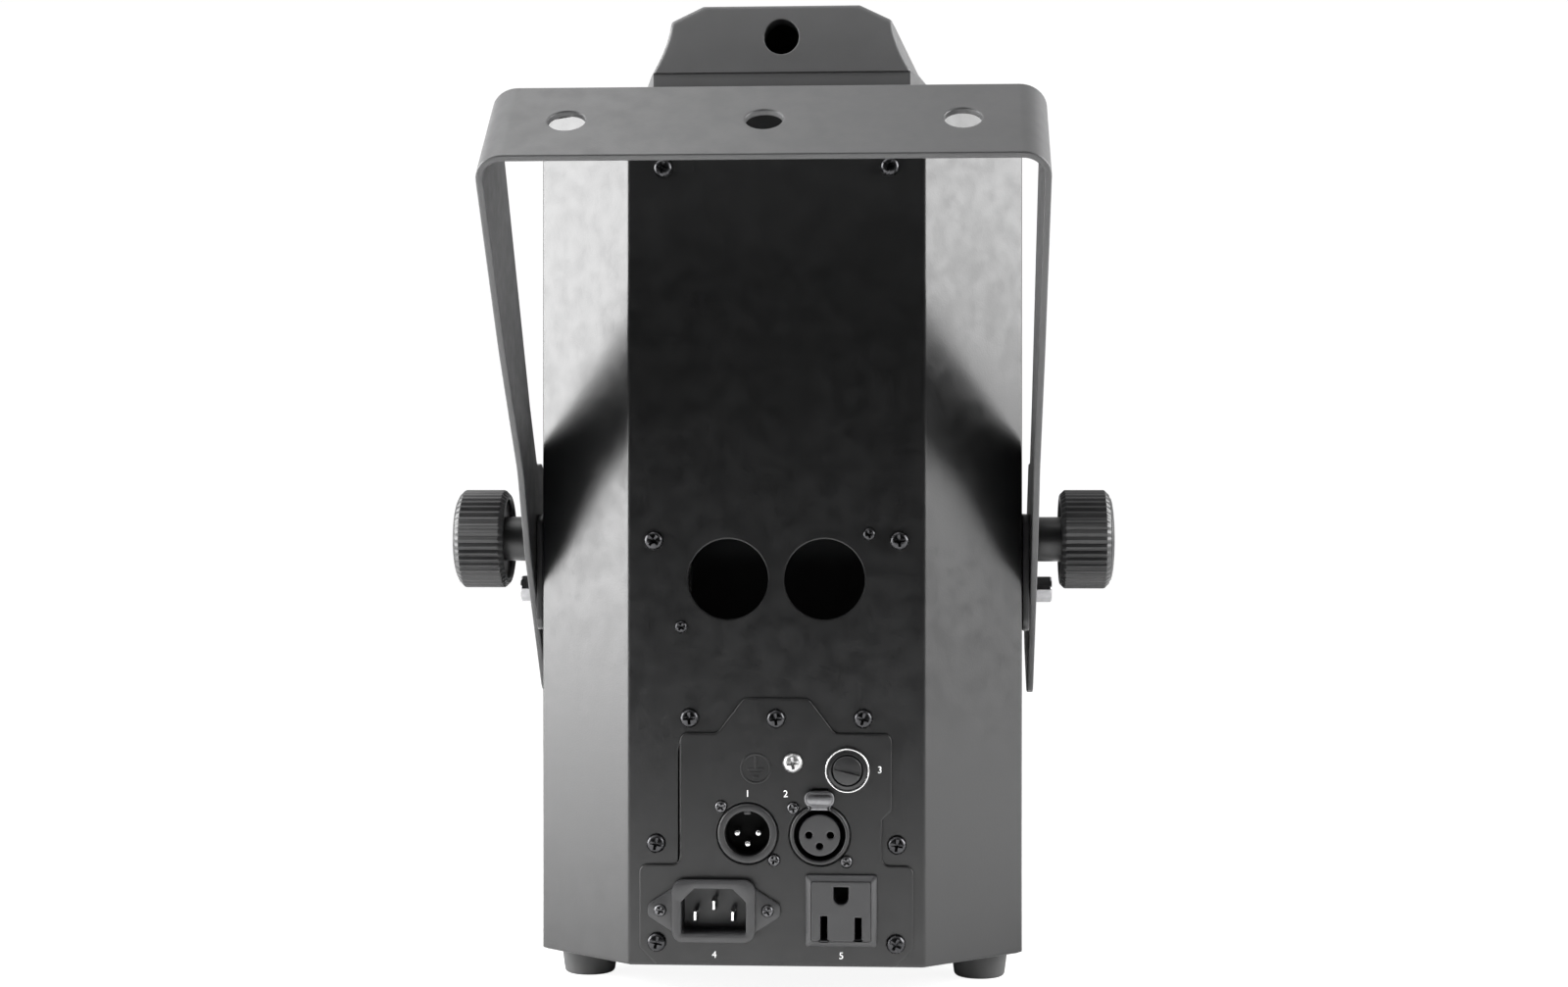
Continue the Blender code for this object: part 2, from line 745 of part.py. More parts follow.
def build_base():
    bm = bmesh.new()
    add_prism(bm, "Z", rounded(inset(FOOTPRINT, SHEET + GAP)), (BASE_Z, BASE_TOP))
    base = make("base_plate", bm, "dark_paint")
    room = bmesh.new()
    add_box(room, (-AWAY, AWAY), (-AWAY, FRONT_Y - CHIN - SHEET), (BASE_Z - OVER, BASE_TOP + OVER))
    combine(base, "INTERSECT", tool(room))
    slots = bmesh.new()
    for i in range(INTAKE_SLOTS):
        y = BEAM_Y + (i - (INTAKE_SLOTS - 1) / 2) * INTAKE_PITCH
        add_prism(slots, "Z", rectangle((0, y), INTAKE_HALF, INTAKE_W / 2), (BASE_Z - SHEET, BASE_TOP + SHEET))
    cut(base, slots)
    seat = FOOT_POCKET_H - FOOT_H
    foot = turned([(FOOT_POCKET_R, seat), (FOOT_BORE_R + GAP, seat),
                   (FOOT_BORE_R + GAP, 0), (FOOT_TOP_R, 0), (FOOT_TOP_R, -FOOT_BAND),
                   (FOOT_SOLE_R + FOOT_BAND / 2, FOOT_SOFT_H - FOOT_H), (FOOT_SOLE_R - FOOT_SOFT_R, -FOOT_H),
                   (FOOT_POCKET_R, -FOOT_H)], 12)
    tip, head_r = BASE_T + FOOT_SCREW_GRIP, FOOT_POCKET_R - FOOT_BAND
    screw = turned([(0, tip), (FOOT_BORE_R, tip), (FOOT_BORE_R, seat - GAP), (head_r, seat - GAP),
                    (head_r, seat - FOOT_SCREW_H), (0, seat - FOOT_SCREW_H)], 8)
    screws = bmesh.new()
    for i, (x, y) in enumerate(foot_places()):
        bm = bmesh.new()
        add_mesh(bm, foot, (x, y, FOOT_H))
        make("foot_%d" % (i + 1), bm, "rubber")
        add_mesh(screws, screw, (x, y, FOOT_H))
    join(base, screws)


def foot_places():
    return [(side * FOOT_X, y) for y in (FOOT_REAR_Y, FOOT_FRONT_Y) for side in (-1, 1)]


def build_frame():
    inner = BODY_HALF - SHEET - GAP
    bm = bmesh.new()
    back = COLUMN_Y - SHEET - FLANGE_DEPTH
    add_prism(bm, "Z", [(-inner, back), (-inner + SHEET, back), (-inner + SHEET, COLUMN_Y - SHEET),
                        (inner - SHEET, COLUMN_Y - SHEET), (inner - SHEET, back), (inner, back),
                        (inner, COLUMN_Y), (-inner, COLUMN_Y)], (BASE_TOP + GAP, COVER_TOP - GAP))
    chassis = make("chassis", bm, "dark_paint")
    notch = bmesh.new()
    keep = PIN_R + NUT_WALL + 2 * GAP
    for side in (-1, 1):
        pin = (PIVOT_Z - PIN_DROP - keep, PIVOT_Z - PIN_DROP + keep)
        add_box(notch, sorted((side * (BODY_HALF - SHEET - NUT_LENGTH - BEND), side * BODY_HALF)),
                (back - SHEET, COLUMN_Y + SHEET), pin)
    cut(chassis, notch)
    rear = -REAR + SHEET + GAP
    front = COLUMN_Y - SHEET - GAP
    for name, side in (("frame_rail_left", -1), ("frame_rail_right", 1)):
        outline = [(side * x, y) for x, y in
                   [(RAIL_INNER_X, rear), (RAIL_OUTER_X, rear), (RAIL_OUTER_X, front), (RAIL_INNER_X, front),
                    (RAIL_INNER_X, front - SHEET), (RAIL_OUTER_X - SHEET, front - SHEET),
                    (RAIL_OUTER_X - SHEET, rear + SHEET), (RAIL_INNER_X, rear + SHEET)]]
        bm = bmesh.new()
        add_prism(bm, "Z", outline, (BASE_TOP + GAP, COVER_TOP - GAP))
        rail = make(name, bm, "plated_steel")
        places = [(side * x, z) for x, z in cover_screws()]
        join(rail, screws_at(places, -REAR - GAP, SCREW_GRIP))
        join(rail, screws_at([(side * PLATE_SCREW[0], PLATE_SCREW[1])], PLATE_FACE - GAP, SCREW_GRIP))
    bar = bmesh.new()
    z = COVER_Z + BAR_Z
    add_box(bar, (-BAR_HALF, BAR_HALF), (rear, rear + BAR_T), (z - BAR_H / 2, z + BAR_H / 2))
    nut_bar = make("nut_bar", bar, "plated_steel")
    join(nut_bar, screws_at([(-BAR_SCREW_X, BAR_Z), (BAR_SCREW_X, BAR_Z)], -REAR - GAP, SCREW_GRIP))
    join(nut_bar, screws_at([(0, BAR_Z)], PLATE_FACE - GAP, SCREW_GRIP))


def screws_at(places, face, grip):
    # large screws with their heads on a face, that bite into the piece they are joined to
    screw = pan_head(SCREW_R, SCREW_H, SCREW_SHANK, grip)
    bm = bmesh.new()
    for place in places:
        x, z = on_rear(place)
        add_mesh(bm, screw, (x, face, z), "-Y")
    return bm


def build_front_shell():
    start = SEAM_Y + GAP
    outer = [corner for corner in FOOTPRINT if corner[1] > 0]
    outline = rounded([(BODY_HALF, start, 0)] + outer + [(-BODY_HALF, start, 0)])
    bm = bmesh.new()
    add_prism(bm, "Z", outline, (SHELL_Z, RIM_Z))
    shell = make("front_shell", bm, "shell_plastic")
    wide = (-AWAY, AWAY)
    brow_y = FRONT_Y - BROW_SET
    side = bmesh.new()
    behind, under, above = start - 2 * OVER, SHELL_Z - 2 * OVER, RIM_Z + 2 * OVER
    add_prism(side, "X", rounded([(behind, under, 0), (FRONT_Y - CHIN, under, 0), (FRONT_Y - CHIN, SHELL_Z, 0),
                                  (FRONT_Y, SHELL_Z + CHIN, CHIN_R), (FRONT_Y, BROW_Z, BROW_R),
                                  (brow_y, RIM_Z, 0), (brow_y, above, 0), (behind, above, 0)]), wide)
    combine(shell, "INTERSECT", tool(side))
    cut(shell, hollow(SHELL_WALL, SHELL_Z - OVER))
    cut(shell, hollow(REBATE, DECK_Z - GAP))
    openings = bmesh.new()
    wall = (FRONT_Y - SHELL_WALL - OVER, FRONT_Y + OVER)
    window = rectangle((DISPLAY_X, PANEL_Z), DISPLAY_HALF + GAP, DISPLAY_HIGH + GAP, DISPLAY_ROUND)
    add_prism(openings, "Y", window, wall)
    for x in button_places():
        add_rod(openings, "Y", (x, PANEL_Z), BUTTON_R + RUN, wall, 10)
    for side in (-1, 1):
        for i in range(SIDE_SLOTS):
            y = SIDE_SLOT_Y + i * SIDE_SLOT_PITCH
            add_box(openings, sorted((side * (BODY_HALF - OVER), side * (BODY_HALF + OVER))),
                    (y, y + SIDE_SLOT_W), (COVER_Z + SIDE_SLOT_LOW, COVER_Z + SIDE_SLOT_HIGH))
    cut(shell, openings)


def hollow(wall, floor):
    # the inside of the shell, drawn in by the wall; open at the rear, at the bottom and at the top
    bm = bmesh.new()
    plan = [(a, b if b > 0 else b - AWAY, r) for a, b, r in inset(FOOTPRINT, wall)]
    add_prism(bm, "Z", rounded(plan), (floor, RIM_Z + OVER))
    block = tool(bm)
    brow_y, chin_y = FRONT_Y - BROW_SET - wall, FRONT_Y - CHIN - wall * 0.6
    under, above = floor - 2 * OVER, RIM_Z + 2 * OVER
    side = bmesh.new()
    add_prism(side, "X", rounded([(-AWAY, under, 0), (chin_y, under, 0), (chin_y, SHELL_Z, 0),
                                  (FRONT_Y - wall, SHELL_Z + CHIN + wall * 0.4, CHIN_R / 2),
                                  (FRONT_Y - wall, BROW_Z, BROW_R), (brow_y, RIM_Z, 0), (brow_y, above, 0),
                                  (-AWAY, above, 0)]), (-AWAY, AWAY))
    combine(block, "INTERSECT", tool(side))
    inside = bmesh.new()
    bpy.context.view_layer.update()
    inside.from_mesh(bpy.data.meshes.new_from_object(
        block.evaluated_get(bpy.context.evaluated_depsgraph_get())))
    return inside


def build_deck():
    bm = bmesh.new()
    add_prism(bm, "Z", rounded(inset(FOOTPRINT, REBATE + GAP)), (DECK_Z, DECK_TOP))
    deck = make("lens_deck", bm, "black_paint")
    slope = BROW_SET / BROW_DROP
    edge = FRONT_Y - slope * (DECK_TOP - BROW_Z) - REBATE * 1.1 - GAP
    room = bmesh.new()
    add_box(room, (-AWAY, AWAY), (COLUMN_Y + GAP, edge), (DECK_Z - OVER, DECK_TOP + OVER))
    combine(deck, "INTERSECT", tool(room))
    hole = bmesh.new()
    add_rod(hole, "Z", (0, BEAM_Y), COLLAR_R + GAP, (DECK_Z - OVER, DECK_TOP + OVER), 20)
    cut(deck, hole)


# Head plate and hood

def build_head():
    side = CHAMFER_DEPTH - REAR
    shoulder = HEAD_NOSE_HALF + HEAD_SHOULDER_X
    half = [(PANEL_HALF, -REAR, HEAD_REAR_R), (BODY_HALF, side, HEAD_REAR_R),
            (BODY_HALF, COLUMN_Y, HEAD_FRONT_R / 2), (shoulder, HEAD_SHOULDER_Y, HEAD_FRONT_R),
            (HEAD_NOSE_HALF, HEAD_NOSE_Y, NOSE_R)]
    bm = bmesh.new()
    corners = half + [(-x, y, radius) for x, y, radius in reversed(half)]
    add_prism(bm, "Z", rounded(corners), (HEAD_Z, HEAD_TOP))
    plate = make("head_plate", bm, "black_paint")
    hole = bmesh.new()
    add_rod(hole, "Z", (0, BEAM_Y), PAN_BOSS_R + GAP, (HEAD_Z - OVER, HEAD_TOP + OVER), 16)
    cut(plate, hole)


def hood_section(y):
    # one arch of the hood: skirt, flaring side, chamfered corner and roof, from -X to +X
    on = y - HOOD_REAR_Y
    roof = HOOD_TOP - HOOD_FALL * on
    corner = HOOD_CORNER_HALF + 0.6 * HOOD_SPREAD * on
    skirt = HOOD_SKIRT_HALF + HOOD_SPREAD * on
    high = roof - HOOD_CORNER_DROP
    low = HOOD_Z + HOOD_SKIRT_H
    half = [(skirt, HOOD_Z)]
    for k in range(5):
        s = 1 - k / 4
        half.append((corner + (skirt - corner) * s ** 1.6, high - (high - low) * s))
    half.append((HOOD_TOP_HALF + 0.6 * HOOD_SPREAD * on, roof))
    return [(-x, y, z) for x, z in half] + [(x, y, z) for x, z in reversed(half)]


def build_hood():
    nose = HOOD_FRONT_Y - HOOD_REAR_Y
    stations = [hood_section(HOOD_REAR_Y + nose * s) for s in (0, 0.5, 1)]
    tip = [(x * 0.9, y + HOOD_TIP, HOOD_Z + (z - HOOD_Z) * 0.82) for x, y, z in stations[-1]]
    stations.append(tip)
    bm = bmesh.new()
    rows = [[bm.verts.new(point) for point in row] for row in stations]
    for low, high in zip(rows, rows[1:]):
        for i in range(len(low) - 1):
            bm.faces.new([low[i], low[i + 1], high[i + 1], high[i]])
    bm.faces.new(rows[0])
    bm.faces.new(list(reversed(rows[-1])))
    hood = make("mirror_hood", bm, "hood_plastic")
    if sum(f.normal.z * f.area for f in hood.data.polygons) < 0:
        hood.data.flip_normals()
    wall = hood.modifiers.new("wall", "SOLIDIFY")
    wall.thickness = HOOD_WALL
    wall.offset = -1
    wall.use_even_offset = True
    eye = (0, HOOD_TOP - EYE_DROP)
    sleeve = bmesh.new()
    reach = HOOD_REAR_Y + EYE_SLEEVE
    add_rod(sleeve, "Y", eye, EYE_R + HOOD_WALL * 0.8, (HOOD_REAR_Y + HOOD_WALL / 2, reach), 16)
    join(hood, sleeve)
    bore = bmesh.new()
    add_rod(bore, "Y", eye, EYE_R, (HOOD_REAR_Y - OVER, reach + OVER), 16)
    wide = HOOD_SKIRT_HALF + OVER
    add_box(bore, (-wide, wide), (HOOD_REAR_Y - OVER, HOOD_REAR_Y + HOOD_BAND_DEPTH),
            (HOOD_Z - OVER, HOOD_Z + HOOD_SKIRT_H))
    cut(hood, bore)


# Rear connectors

def build_io_plate():
    n = PLATE_ROUND
    corners = [(-PLATE_HALF + PLATE_CUT, 0, n), (PLATE_HALF - PLATE_CUT, 0, n), (PLATE_HALF, PLATE_CUT, n),
               (PLATE_HALF, PLATE_SHOULDER_Z, n), (PLATE_NECK_RIGHT, PLATE_SHOULDER_Z, n),
               (PLATE_NECK_RIGHT, PLATE_EAR_Z, 0.001), (PLATE_EAR_X, PLATE_EAR_Z + 0.0035, 0.001),
               (PLATE_EAR_X, PLATE_NECK_TOP, n), (PLATE_RAMP_X, PLATE_NECK_TOP, n),
               (PLATE_PEAK_X, PLATE_PEAK_Z, n), (-PLATE_PEAK_X, PLATE_PEAK_Z, n),
               (-PLATE_RAMP_X, PLATE_NECK_TOP, n), (-PLATE_NECK_LEFT, PLATE_NECK_TOP, n),
               (-PLATE_NECK_LEFT, PLATE_SHOULDER_Z, n), (-PLATE_HALF, PLATE_SHOULDER_Z, n),
               (-PLATE_HALF, PLATE_CUT, n)]
    bm = bmesh.new()
    span = (PLATE_FACE, PLATE_FACE + PLATE_T)
    add_prism(bm, "Y", [(x, COVER_Z + z) for x, z in rounded(corners, 2)], span)
    plate = make("io_plate", bm, "dark_paint")
    through = (span[0] - SHEET, span[1] + SHEET)
    holes = bmesh.new()
    for place in (XLR_IN, XLR_OUT):
        add_rod(holes, "Y", on_rear(place), XLR_R + GAP, through, 20)
        x, z = on_rear(place)
        for away in (-XLR_SCREW, XLR_SCREW):
            add_rod(holes, "Y", (x - away, z + away), FIXING_SHANK + GAP * 2, through, 6)
    add_rod(holes, "Y", on_rear(FUSE), FUSE_BODY_R + GAP, through, 16)
    add_rod(holes, "Y", on_rear(EARTH_SCREW), SCREW_SHANK + GAP * 2, through, 6)
    for place in both_sides([PLATE_SCREW]) + [(0, BAR_Z)]:
        add_rod(holes, "Y", on_rear(place), SCREW_SHANK + GAP * 2, through, 6)
    for side in (-1, 1):
        x, z = on_rear(INLET)
        add_rod(holes, "Y", (x + side * INLET_SCREW_X, z), FIXING_SHANK + GAP * 2, through, 6)
    add_prism(holes, "Y", rectangle(on_rear(INLET), INLET_BODY_HALF + GAP, INLET_BODY_HIGH + GAP), through)
    add_prism(holes, "Y", rectangle(on_rear(OUTLET), OUTLET_BODY_HALF + GAP, OUTLET_BODY_HALF + GAP), through)
    cut(plate, holes)
    slot = bmesh.new()
    add_prism(slot, "Y", latch_slot(RUN), through)
    cut(plate, slot)


def latch_slot(spare):
    x, z = on_rear(XLR_OUT)
    return rectangle((x, z + LATCH_RISE - LATCH_STEM_H / 2), LATCH_STEM_HALF + spare, LATCH_STEM_H / 2 + spare)


def build_xlr(name, place, bore_r):
    # nose through the plate, square flange behind it and a round body
    x, z = on_rear(place)
    face = PLATE_FACE - XLR_STAND
    seat = PLATE_FACE + PLATE_T + GAP
    bm = bmesh.new()
    add_rod(bm, "Y", (x, z), XLR_R, (face, face + XLR_DEPTH), 20)
    shell = make(name, bm, "socket_plastic")
    flange = bmesh.new()
    add_prism(flange, "Y", rectangle((x, z), XLR_FLANGE_HALF, XLR_FLANGE_HALF), (seat, seat + XLR_FLANGE_T))
    join(shell, flange)
    bore = bmesh.new()
    add_rod(bore, "Y", (x, z), bore_r, (face - OVER, face + XLR_SOCKET_DEPTH), 20)
    cut(shell, bore)
    fixings = bmesh.new()
    screw = pan_head(SMALL_SCREW_R, SMALL_SCREW_H, FIXING_SHANK, PLATE_T + 3 * GAP + XLR_FLANGE_T / 2)
    for side in (-1, 1):
        add_mesh(fixings, screw, (x - side * XLR_SCREW, PLATE_FACE - GAP, z + side * XLR_SCREW), "-Y")
    join(shell, fixings)
    return shell, x, z, face


def contact_places(x, z):
    return [(x - CONTACT_X, z), (x + CONTACT_X, z), (x, z - CONTACT_Z)]


def build_signal_connectors():
    shell, x, z, face = build_xlr("xlr_input", XLR_IN, XLR_SOCKET_R)
    pins = bmesh.new()
    floor = face + XLR_SOCKET_DEPTH
    for place in contact_places(x, z):
        add_rod(pins, "Y", place, XLR_PIN_R, (floor - XLR_PIN_LENGTH, floor + XLR_PIN_R), 8)
    join(shell, pins)

    shell, x, z, face = build_xlr("xlr_output", XLR_OUT, XLR_GROOVE_R)
    slot = bmesh.new()
    add_prism(slot, "Y", latch_slot(RUN), (face - OVER, face + XLR_SOCKET_DEPTH))
    cut(shell, slot)
    bm = bmesh.new()
    add_rod(bm, "Y", (x, z), XLR_INSERT_R, (face + XLR_INSERT_SET, face + XLR_SOCKET_DEPTH - GAP), 20)
    insert = make("xlr_output_insert", bm, "socket_plastic")
    holes = bmesh.new()
    for place in contact_places(x, z):
        add_rod(holes, "Y", place, XLR_HOLE_R, (face - OVER, face + XLR_HOLE_DEPTH), 8)
    cut(insert, holes)
    build_latch(x, z)


def build_latch(x, z):
    outer = PLATE_FACE - LATCH_TRAVEL - XLR_STAND - LATCH_T
    top = z + LATCH_RISE
    bm = bmesh.new()
    low = top - LATCH_STEM_H
    add_prism(bm, "Y", rectangle((x, low + LATCH_H / 2), LATCH_HALF, LATCH_H / 2, LATCH_ROUND),
              (outer, outer + LATCH_T))
    latch = make("xlr_latch", bm, "plated_steel", origin=(x, outer, top - LATCH_STEM_H / 2))
    stem = bmesh.new()
    add_box(stem, (x - LATCH_STEM_HALF, x + LATCH_STEM_HALF),
            (outer + LATCH_T / 2, PLATE_FACE + LATCH_STEM_DEPTH - LATCH_TRAVEL), (low, top))
    join(latch, stem)


def build_fuse():
    x, z = on_rear(FUSE)
    face = PLATE_FACE - GAP - FUSE_RING_T
    depth = FUSE_BODY_DEPTH
    pocket = FUSE_CAP_R + RUN
    bm = bmesh.new()
    floor = -FUSE_CAP_DEPTH - RUN
    add_mesh(bm, turned([(pocket, 0), (FUSE_RING_R - FUSE_SOFT, 0), (FUSE_RING_R, -FUSE_SOFT),
                         (FUSE_RING_R, -FUSE_RING_T), (FUSE_BODY_R, -FUSE_RING_T), (FUSE_BODY_R, -depth),
                         (FUSE_LEAD_R, -depth), (FUSE_LEAD_R, floor), (pocket, floor)], 16), (x, face, z), "-Y")
    make("fuse_holder", bm, "plated_steel")
    cap = bmesh.new()
    add_mesh(cap, turned([(0, FUSE_CAP_STAND), (FUSE_CAP_R - FUSE_SOFT, FUSE_CAP_STAND),
                          (FUSE_CAP_R, FUSE_CAP_STAND - FUSE_SOFT), (FUSE_CAP_R, -FUSE_CAP_DEPTH),
                          (0, -FUSE_CAP_DEPTH)], 16), (x, face, z), "-Y")
    cap = make("fuse_cap", cap, "socket_plastic", origin=(x, face, z))
    slot = bmesh.new()
    top = face - FUSE_CAP_STAND
    add_box(slot, (x - FUSE_CAP_R, x + FUSE_CAP_R), (top - OVER, top + FUSE_SLOT_D),
            (z - FUSE_SLOT_W / 2, z + FUSE_SLOT_W / 2))
    cut(cap, slot)


def build_inlet():
    x, z = on_rear(INLET)
    face = PLATE_FACE - GAP - INLET_FLANGE_T
    ear = INLET_EAR_R
    high = INLET_BEZEL_HIGH - INLET_FLANGE_SET / 4
    end, tall, wide = INLET_SCREW_X + ear, ear * 0.45, INLET_BEZEL_HALF - INLET_FLANGE_SET
    half = [(wide, -high, INLET_ROUND), (end, -tall, ear / 2), (end, tall, ear / 2), (wide, high, INLET_ROUND)]
    corners = half + [(-a, -b, radius) for a, b, radius in half]
    bm = bmesh.new()
    add_prism(bm, "Y", [(x + a, z + b) for a, b in rounded(corners)], (face, face + INLET_FLANGE_T))
    inlet = make("iec_inlet", bm, "socket_plastic")
    bezel = bmesh.new()
    add_prism(bezel, "Y", rectangle((x, z), INLET_BEZEL_HALF, INLET_BEZEL_HIGH, INLET_ROUND * 1.5),
              (face - INLET_BEZEL_T, face + INLET_FLANGE_T / 2))
    join(inlet, bezel)
    body = bmesh.new()
    add_prism(body, "Y", rectangle((x, z), INLET_BODY_HALF, INLET_BODY_HIGH),
              (face + INLET_FLANGE_T / 2, face + INLET_BODY_DEPTH))
    join(inlet, body)
    half, mouth = INLET_MOUTH_HALF, INLET_MOUTH_HIGH
    outline = rounded([(-half, -mouth, INLET_ROUND / 2), (half, -mouth, INLET_ROUND / 2),
                       (half, mouth - INLET_MOUTH_CUT, 0),
                       (half - INLET_MOUTH_CUT, mouth, 0), (INLET_MOUTH_CUT - half, mouth, 0),
                       (-half, mouth - INLET_MOUTH_CUT, 0)], 2)
    floor = face - INLET_BEZEL_T + INLET_MOUTH_DEPTH
    pocket = bmesh.new()
    add_prism(pocket, "Y", [(x + a, z + b) for a, b in outline], (face - OVER, floor))
    cut(inlet, pocket)
    metal = bmesh.new()
    for a, b in ((-BLADE_X, 0), (0, BLADE_RISE), (BLADE_X, 0)):
        add_prism(metal, "Y", rectangle((x + a, z + b - BLADE_RISE / 2), BLADE_W / 2, BLADE_H / 2),
                  (floor - BLADE_LENGTH, floor + BLADE_W))
    screw = pan_head(SMALL_SCREW_R, SMALL_SCREW_H, FIXING_SHANK, INLET_FLANGE_T + GAP + PLATE_T)
    for side in (-1, 1):
        add_mesh(metal, screw, (x + side * INLET_SCREW_X, face + GAP / 2, z), "-Y")
    join(inlet, metal)


def build_outlet():
    x, z = on_rear(OUTLET)
    face = PLATE_FACE - GAP - OUTLET_T
    flat = OUTLET_HALF - OUTLET_BEVEL
    bm = bmesh.new()
    rings = [(OUTLET_BODY_HALF, face + OUTLET_DEPTH), (OUTLET_BODY_HALF, face + OUTLET_T),
             (OUTLET_HALF, face + OUTLET_T), (OUTLET_HALF, face + OUTLET_BEVEL * 0.6), (flat, face)]
    add_rings(bm, [[(a, y, b) for a, b in rectangle((x, z), half, half, OUTLET_BEVEL / 2)]
                   for half, y in rings])
    outlet = make("power_outlet", bm, "socket_plastic")
    slots = bmesh.new()
    deep = (face - OVER, face + SLOT_DEPTH)
    for a, height in ((-SLOT_X, SLOT_LEFT_H), (SLOT_X, SLOT_RIGHT_H)):
        add_prism(slots, "Y", rectangle((x + a, z - SLOT_DROP), SLOT_W / 2, height / 2), deep)
    half = EARTH_HOLE_W / 2
    low = EARTH_HOLE_RISE - EARTH_HOLE_H / 2
    outline = rounded([(-half, low, half * 0.99), (half, low, half * 0.99), (half, low + EARTH_HOLE_H, 0),
                       (-half, low + EARTH_HOLE_H, 0)])
    add_prism(slots, "Y", [(x + a, z + b) for a, b in outline], deep)
    cut(outlet, slots)


def build_loose_screws():
    small = pan_head(SMALL_SCREW_R, SMALL_SCREW_H, FIXING_SHANK, SMALL_GRIP)
    for name, place in zip(("board_screw_left", "board_screw_right"), SMALL_SCREWS):
        x, z = on_rear(place)
        bm = bmesh.new()
        add_mesh(bm, small, (x, -REAR - GAP, z), "-Y")
        make(name, bm, "black_screw")
    earth = pan_head(EARTH_SCREW_R, SCREW_H, SCREW_SHANK, SCREW_GRIP)
    bm = bmesh.new()
    x, z = on_rear(EARTH_SCREW)
    add_mesh(bm, earth, (x, PLATE_FACE - GAP, z), "-Y")
    make("ground_screw", bm, "bright_steel")


# Yoke, knobs and stops

def build_yoke():
    half = ARM_OUTER
    top = YOKE_LENGTH
    low = -ARM_PLATE_DROP
    below = low - 2 * OVER
    outer = rounded([(-half, below, 0), (-half, top, YOKE_BEND), (half, top, YOKE_BEND),
                     (half, below, 0)], 4, False)
    tight = YOKE_BEND - YOKE_T
    inner = rounded([(-ARM_INNER, below, 0), (-ARM_INNER, top - YOKE_T, tight),
                     (ARM_INNER, top - YOKE_T, tight), (ARM_INNER, below, 0)], 4, False)
    bm = bmesh.new()
    add_prism(bm, "Y", outer + list(reversed(inner)), (-STRAP_HALF - OVER, STRAP_HALF + OVER))
    yoke = make("yoke", bm, "dark_paint", yoke_axis, (0, 0, 0))
    shoulder = ARM_PLATE_TOP + ARM_SHOULDER_RISE
    corners = [(-STRAP_HALF, top + 2 * OVER, 0), (-STRAP_HALF, top - YOKE_BEND, ARM_WAIST_R),
               (-ARM_NECK_NEAR, ARM_NECK_Z, ARM_NECK_R), (-ARM_PLATE_NEAR, ARM_PLATE_TOP * 0.4, ARM_HEEL_R),
               (-ARM_PLATE_NEAR, low, ARM_TOE_R), (ARM_PLATE_FAR, low, ARM_TOE_R),
               (ARM_PLATE_FAR, ARM_PLATE_TOP, ARM_SHOULDER_R), (ARM_NECK_FAR, shoulder, ARM_SHOULDER_R),
               (ARM_NECK_FAR, ARM_NECK_Z + ARM_HEEL_R, ARM_WAIST_R), (STRAP_HALF, top - YOKE_BEND, ARM_WAIST_R),
               (STRAP_HALF, top + 2 * OVER, 0)]
    side = bmesh.new()
    add_prism(side, "X", rounded(corners, 3), (-half - OVER, half + OVER))
    combine(yoke, "INTERSECT", tool(side, yoke_axis))
    holes = bmesh.new()
    for x in (-STRAP_HOLE_X, 0, STRAP_HOLE_X):
        add_rod(holes, "Z", (x, 0), STRAP_HOLE_R, (top - YOKE_T - OVER, top + OVER), 16)
    for side in (-1, 1):
        across = (side * (ARM_INNER - YOKE_T), side * (ARM_OUTER + YOKE_T))
        add_rod(holes, "X", (0, 0), STUD_R + RUN, across, 12)
        add_prism(holes, "X", arc_slot(), across)
    cut(yoke, holes, yoke_axis)


def arc_slot(steps=6):
    # the stop pin's path in the yoke's own frame, widened by its radius and rounded at both ends
    rest = math.atan2(-PIN_DROP, PIN_Y) - YOKE_TILT
    first = rest - YOKE_BACK - STOP_SPARE
    last = rest + YOKE_FORTH + STOP_SPARE
    half = PIN_R + RUN
    turns = [first + (last - first) * k / steps for k in range(steps + 1)]
    points = [(PIN_REACH - half, angle) for angle in turns]
    points = [(r * math.cos(angle), r * math.sin(angle)) for r, angle in points]
    points += slot_end(last, half, last + math.pi)
    points += [((PIN_REACH + half) * math.cos(angle), (PIN_REACH + half) * math.sin(angle))
               for angle in reversed(turns)]
    return points + slot_end(first, half, first)


def slot_end(angle, half, start, steps=4):
    middle_a, middle_b = PIN_REACH * math.cos(angle), PIN_REACH * math.sin(angle)
    turns = [start - math.pi * k / steps for k in range(1, steps)]
    return [(middle_a + half * math.cos(turn), middle_b + half * math.sin(turn)) for turn in turns]


def knob_ring(x, radius, depth):
    # two points to a flute: one on its ridge and one in its groove
    points = []
    for i in range(2 * FLUTES):
        r = radius - depth * (i % 2)
        angle = math.pi * i / FLUTES
        points.append((x, r * math.cos(angle), r * math.sin(angle)))
    return points


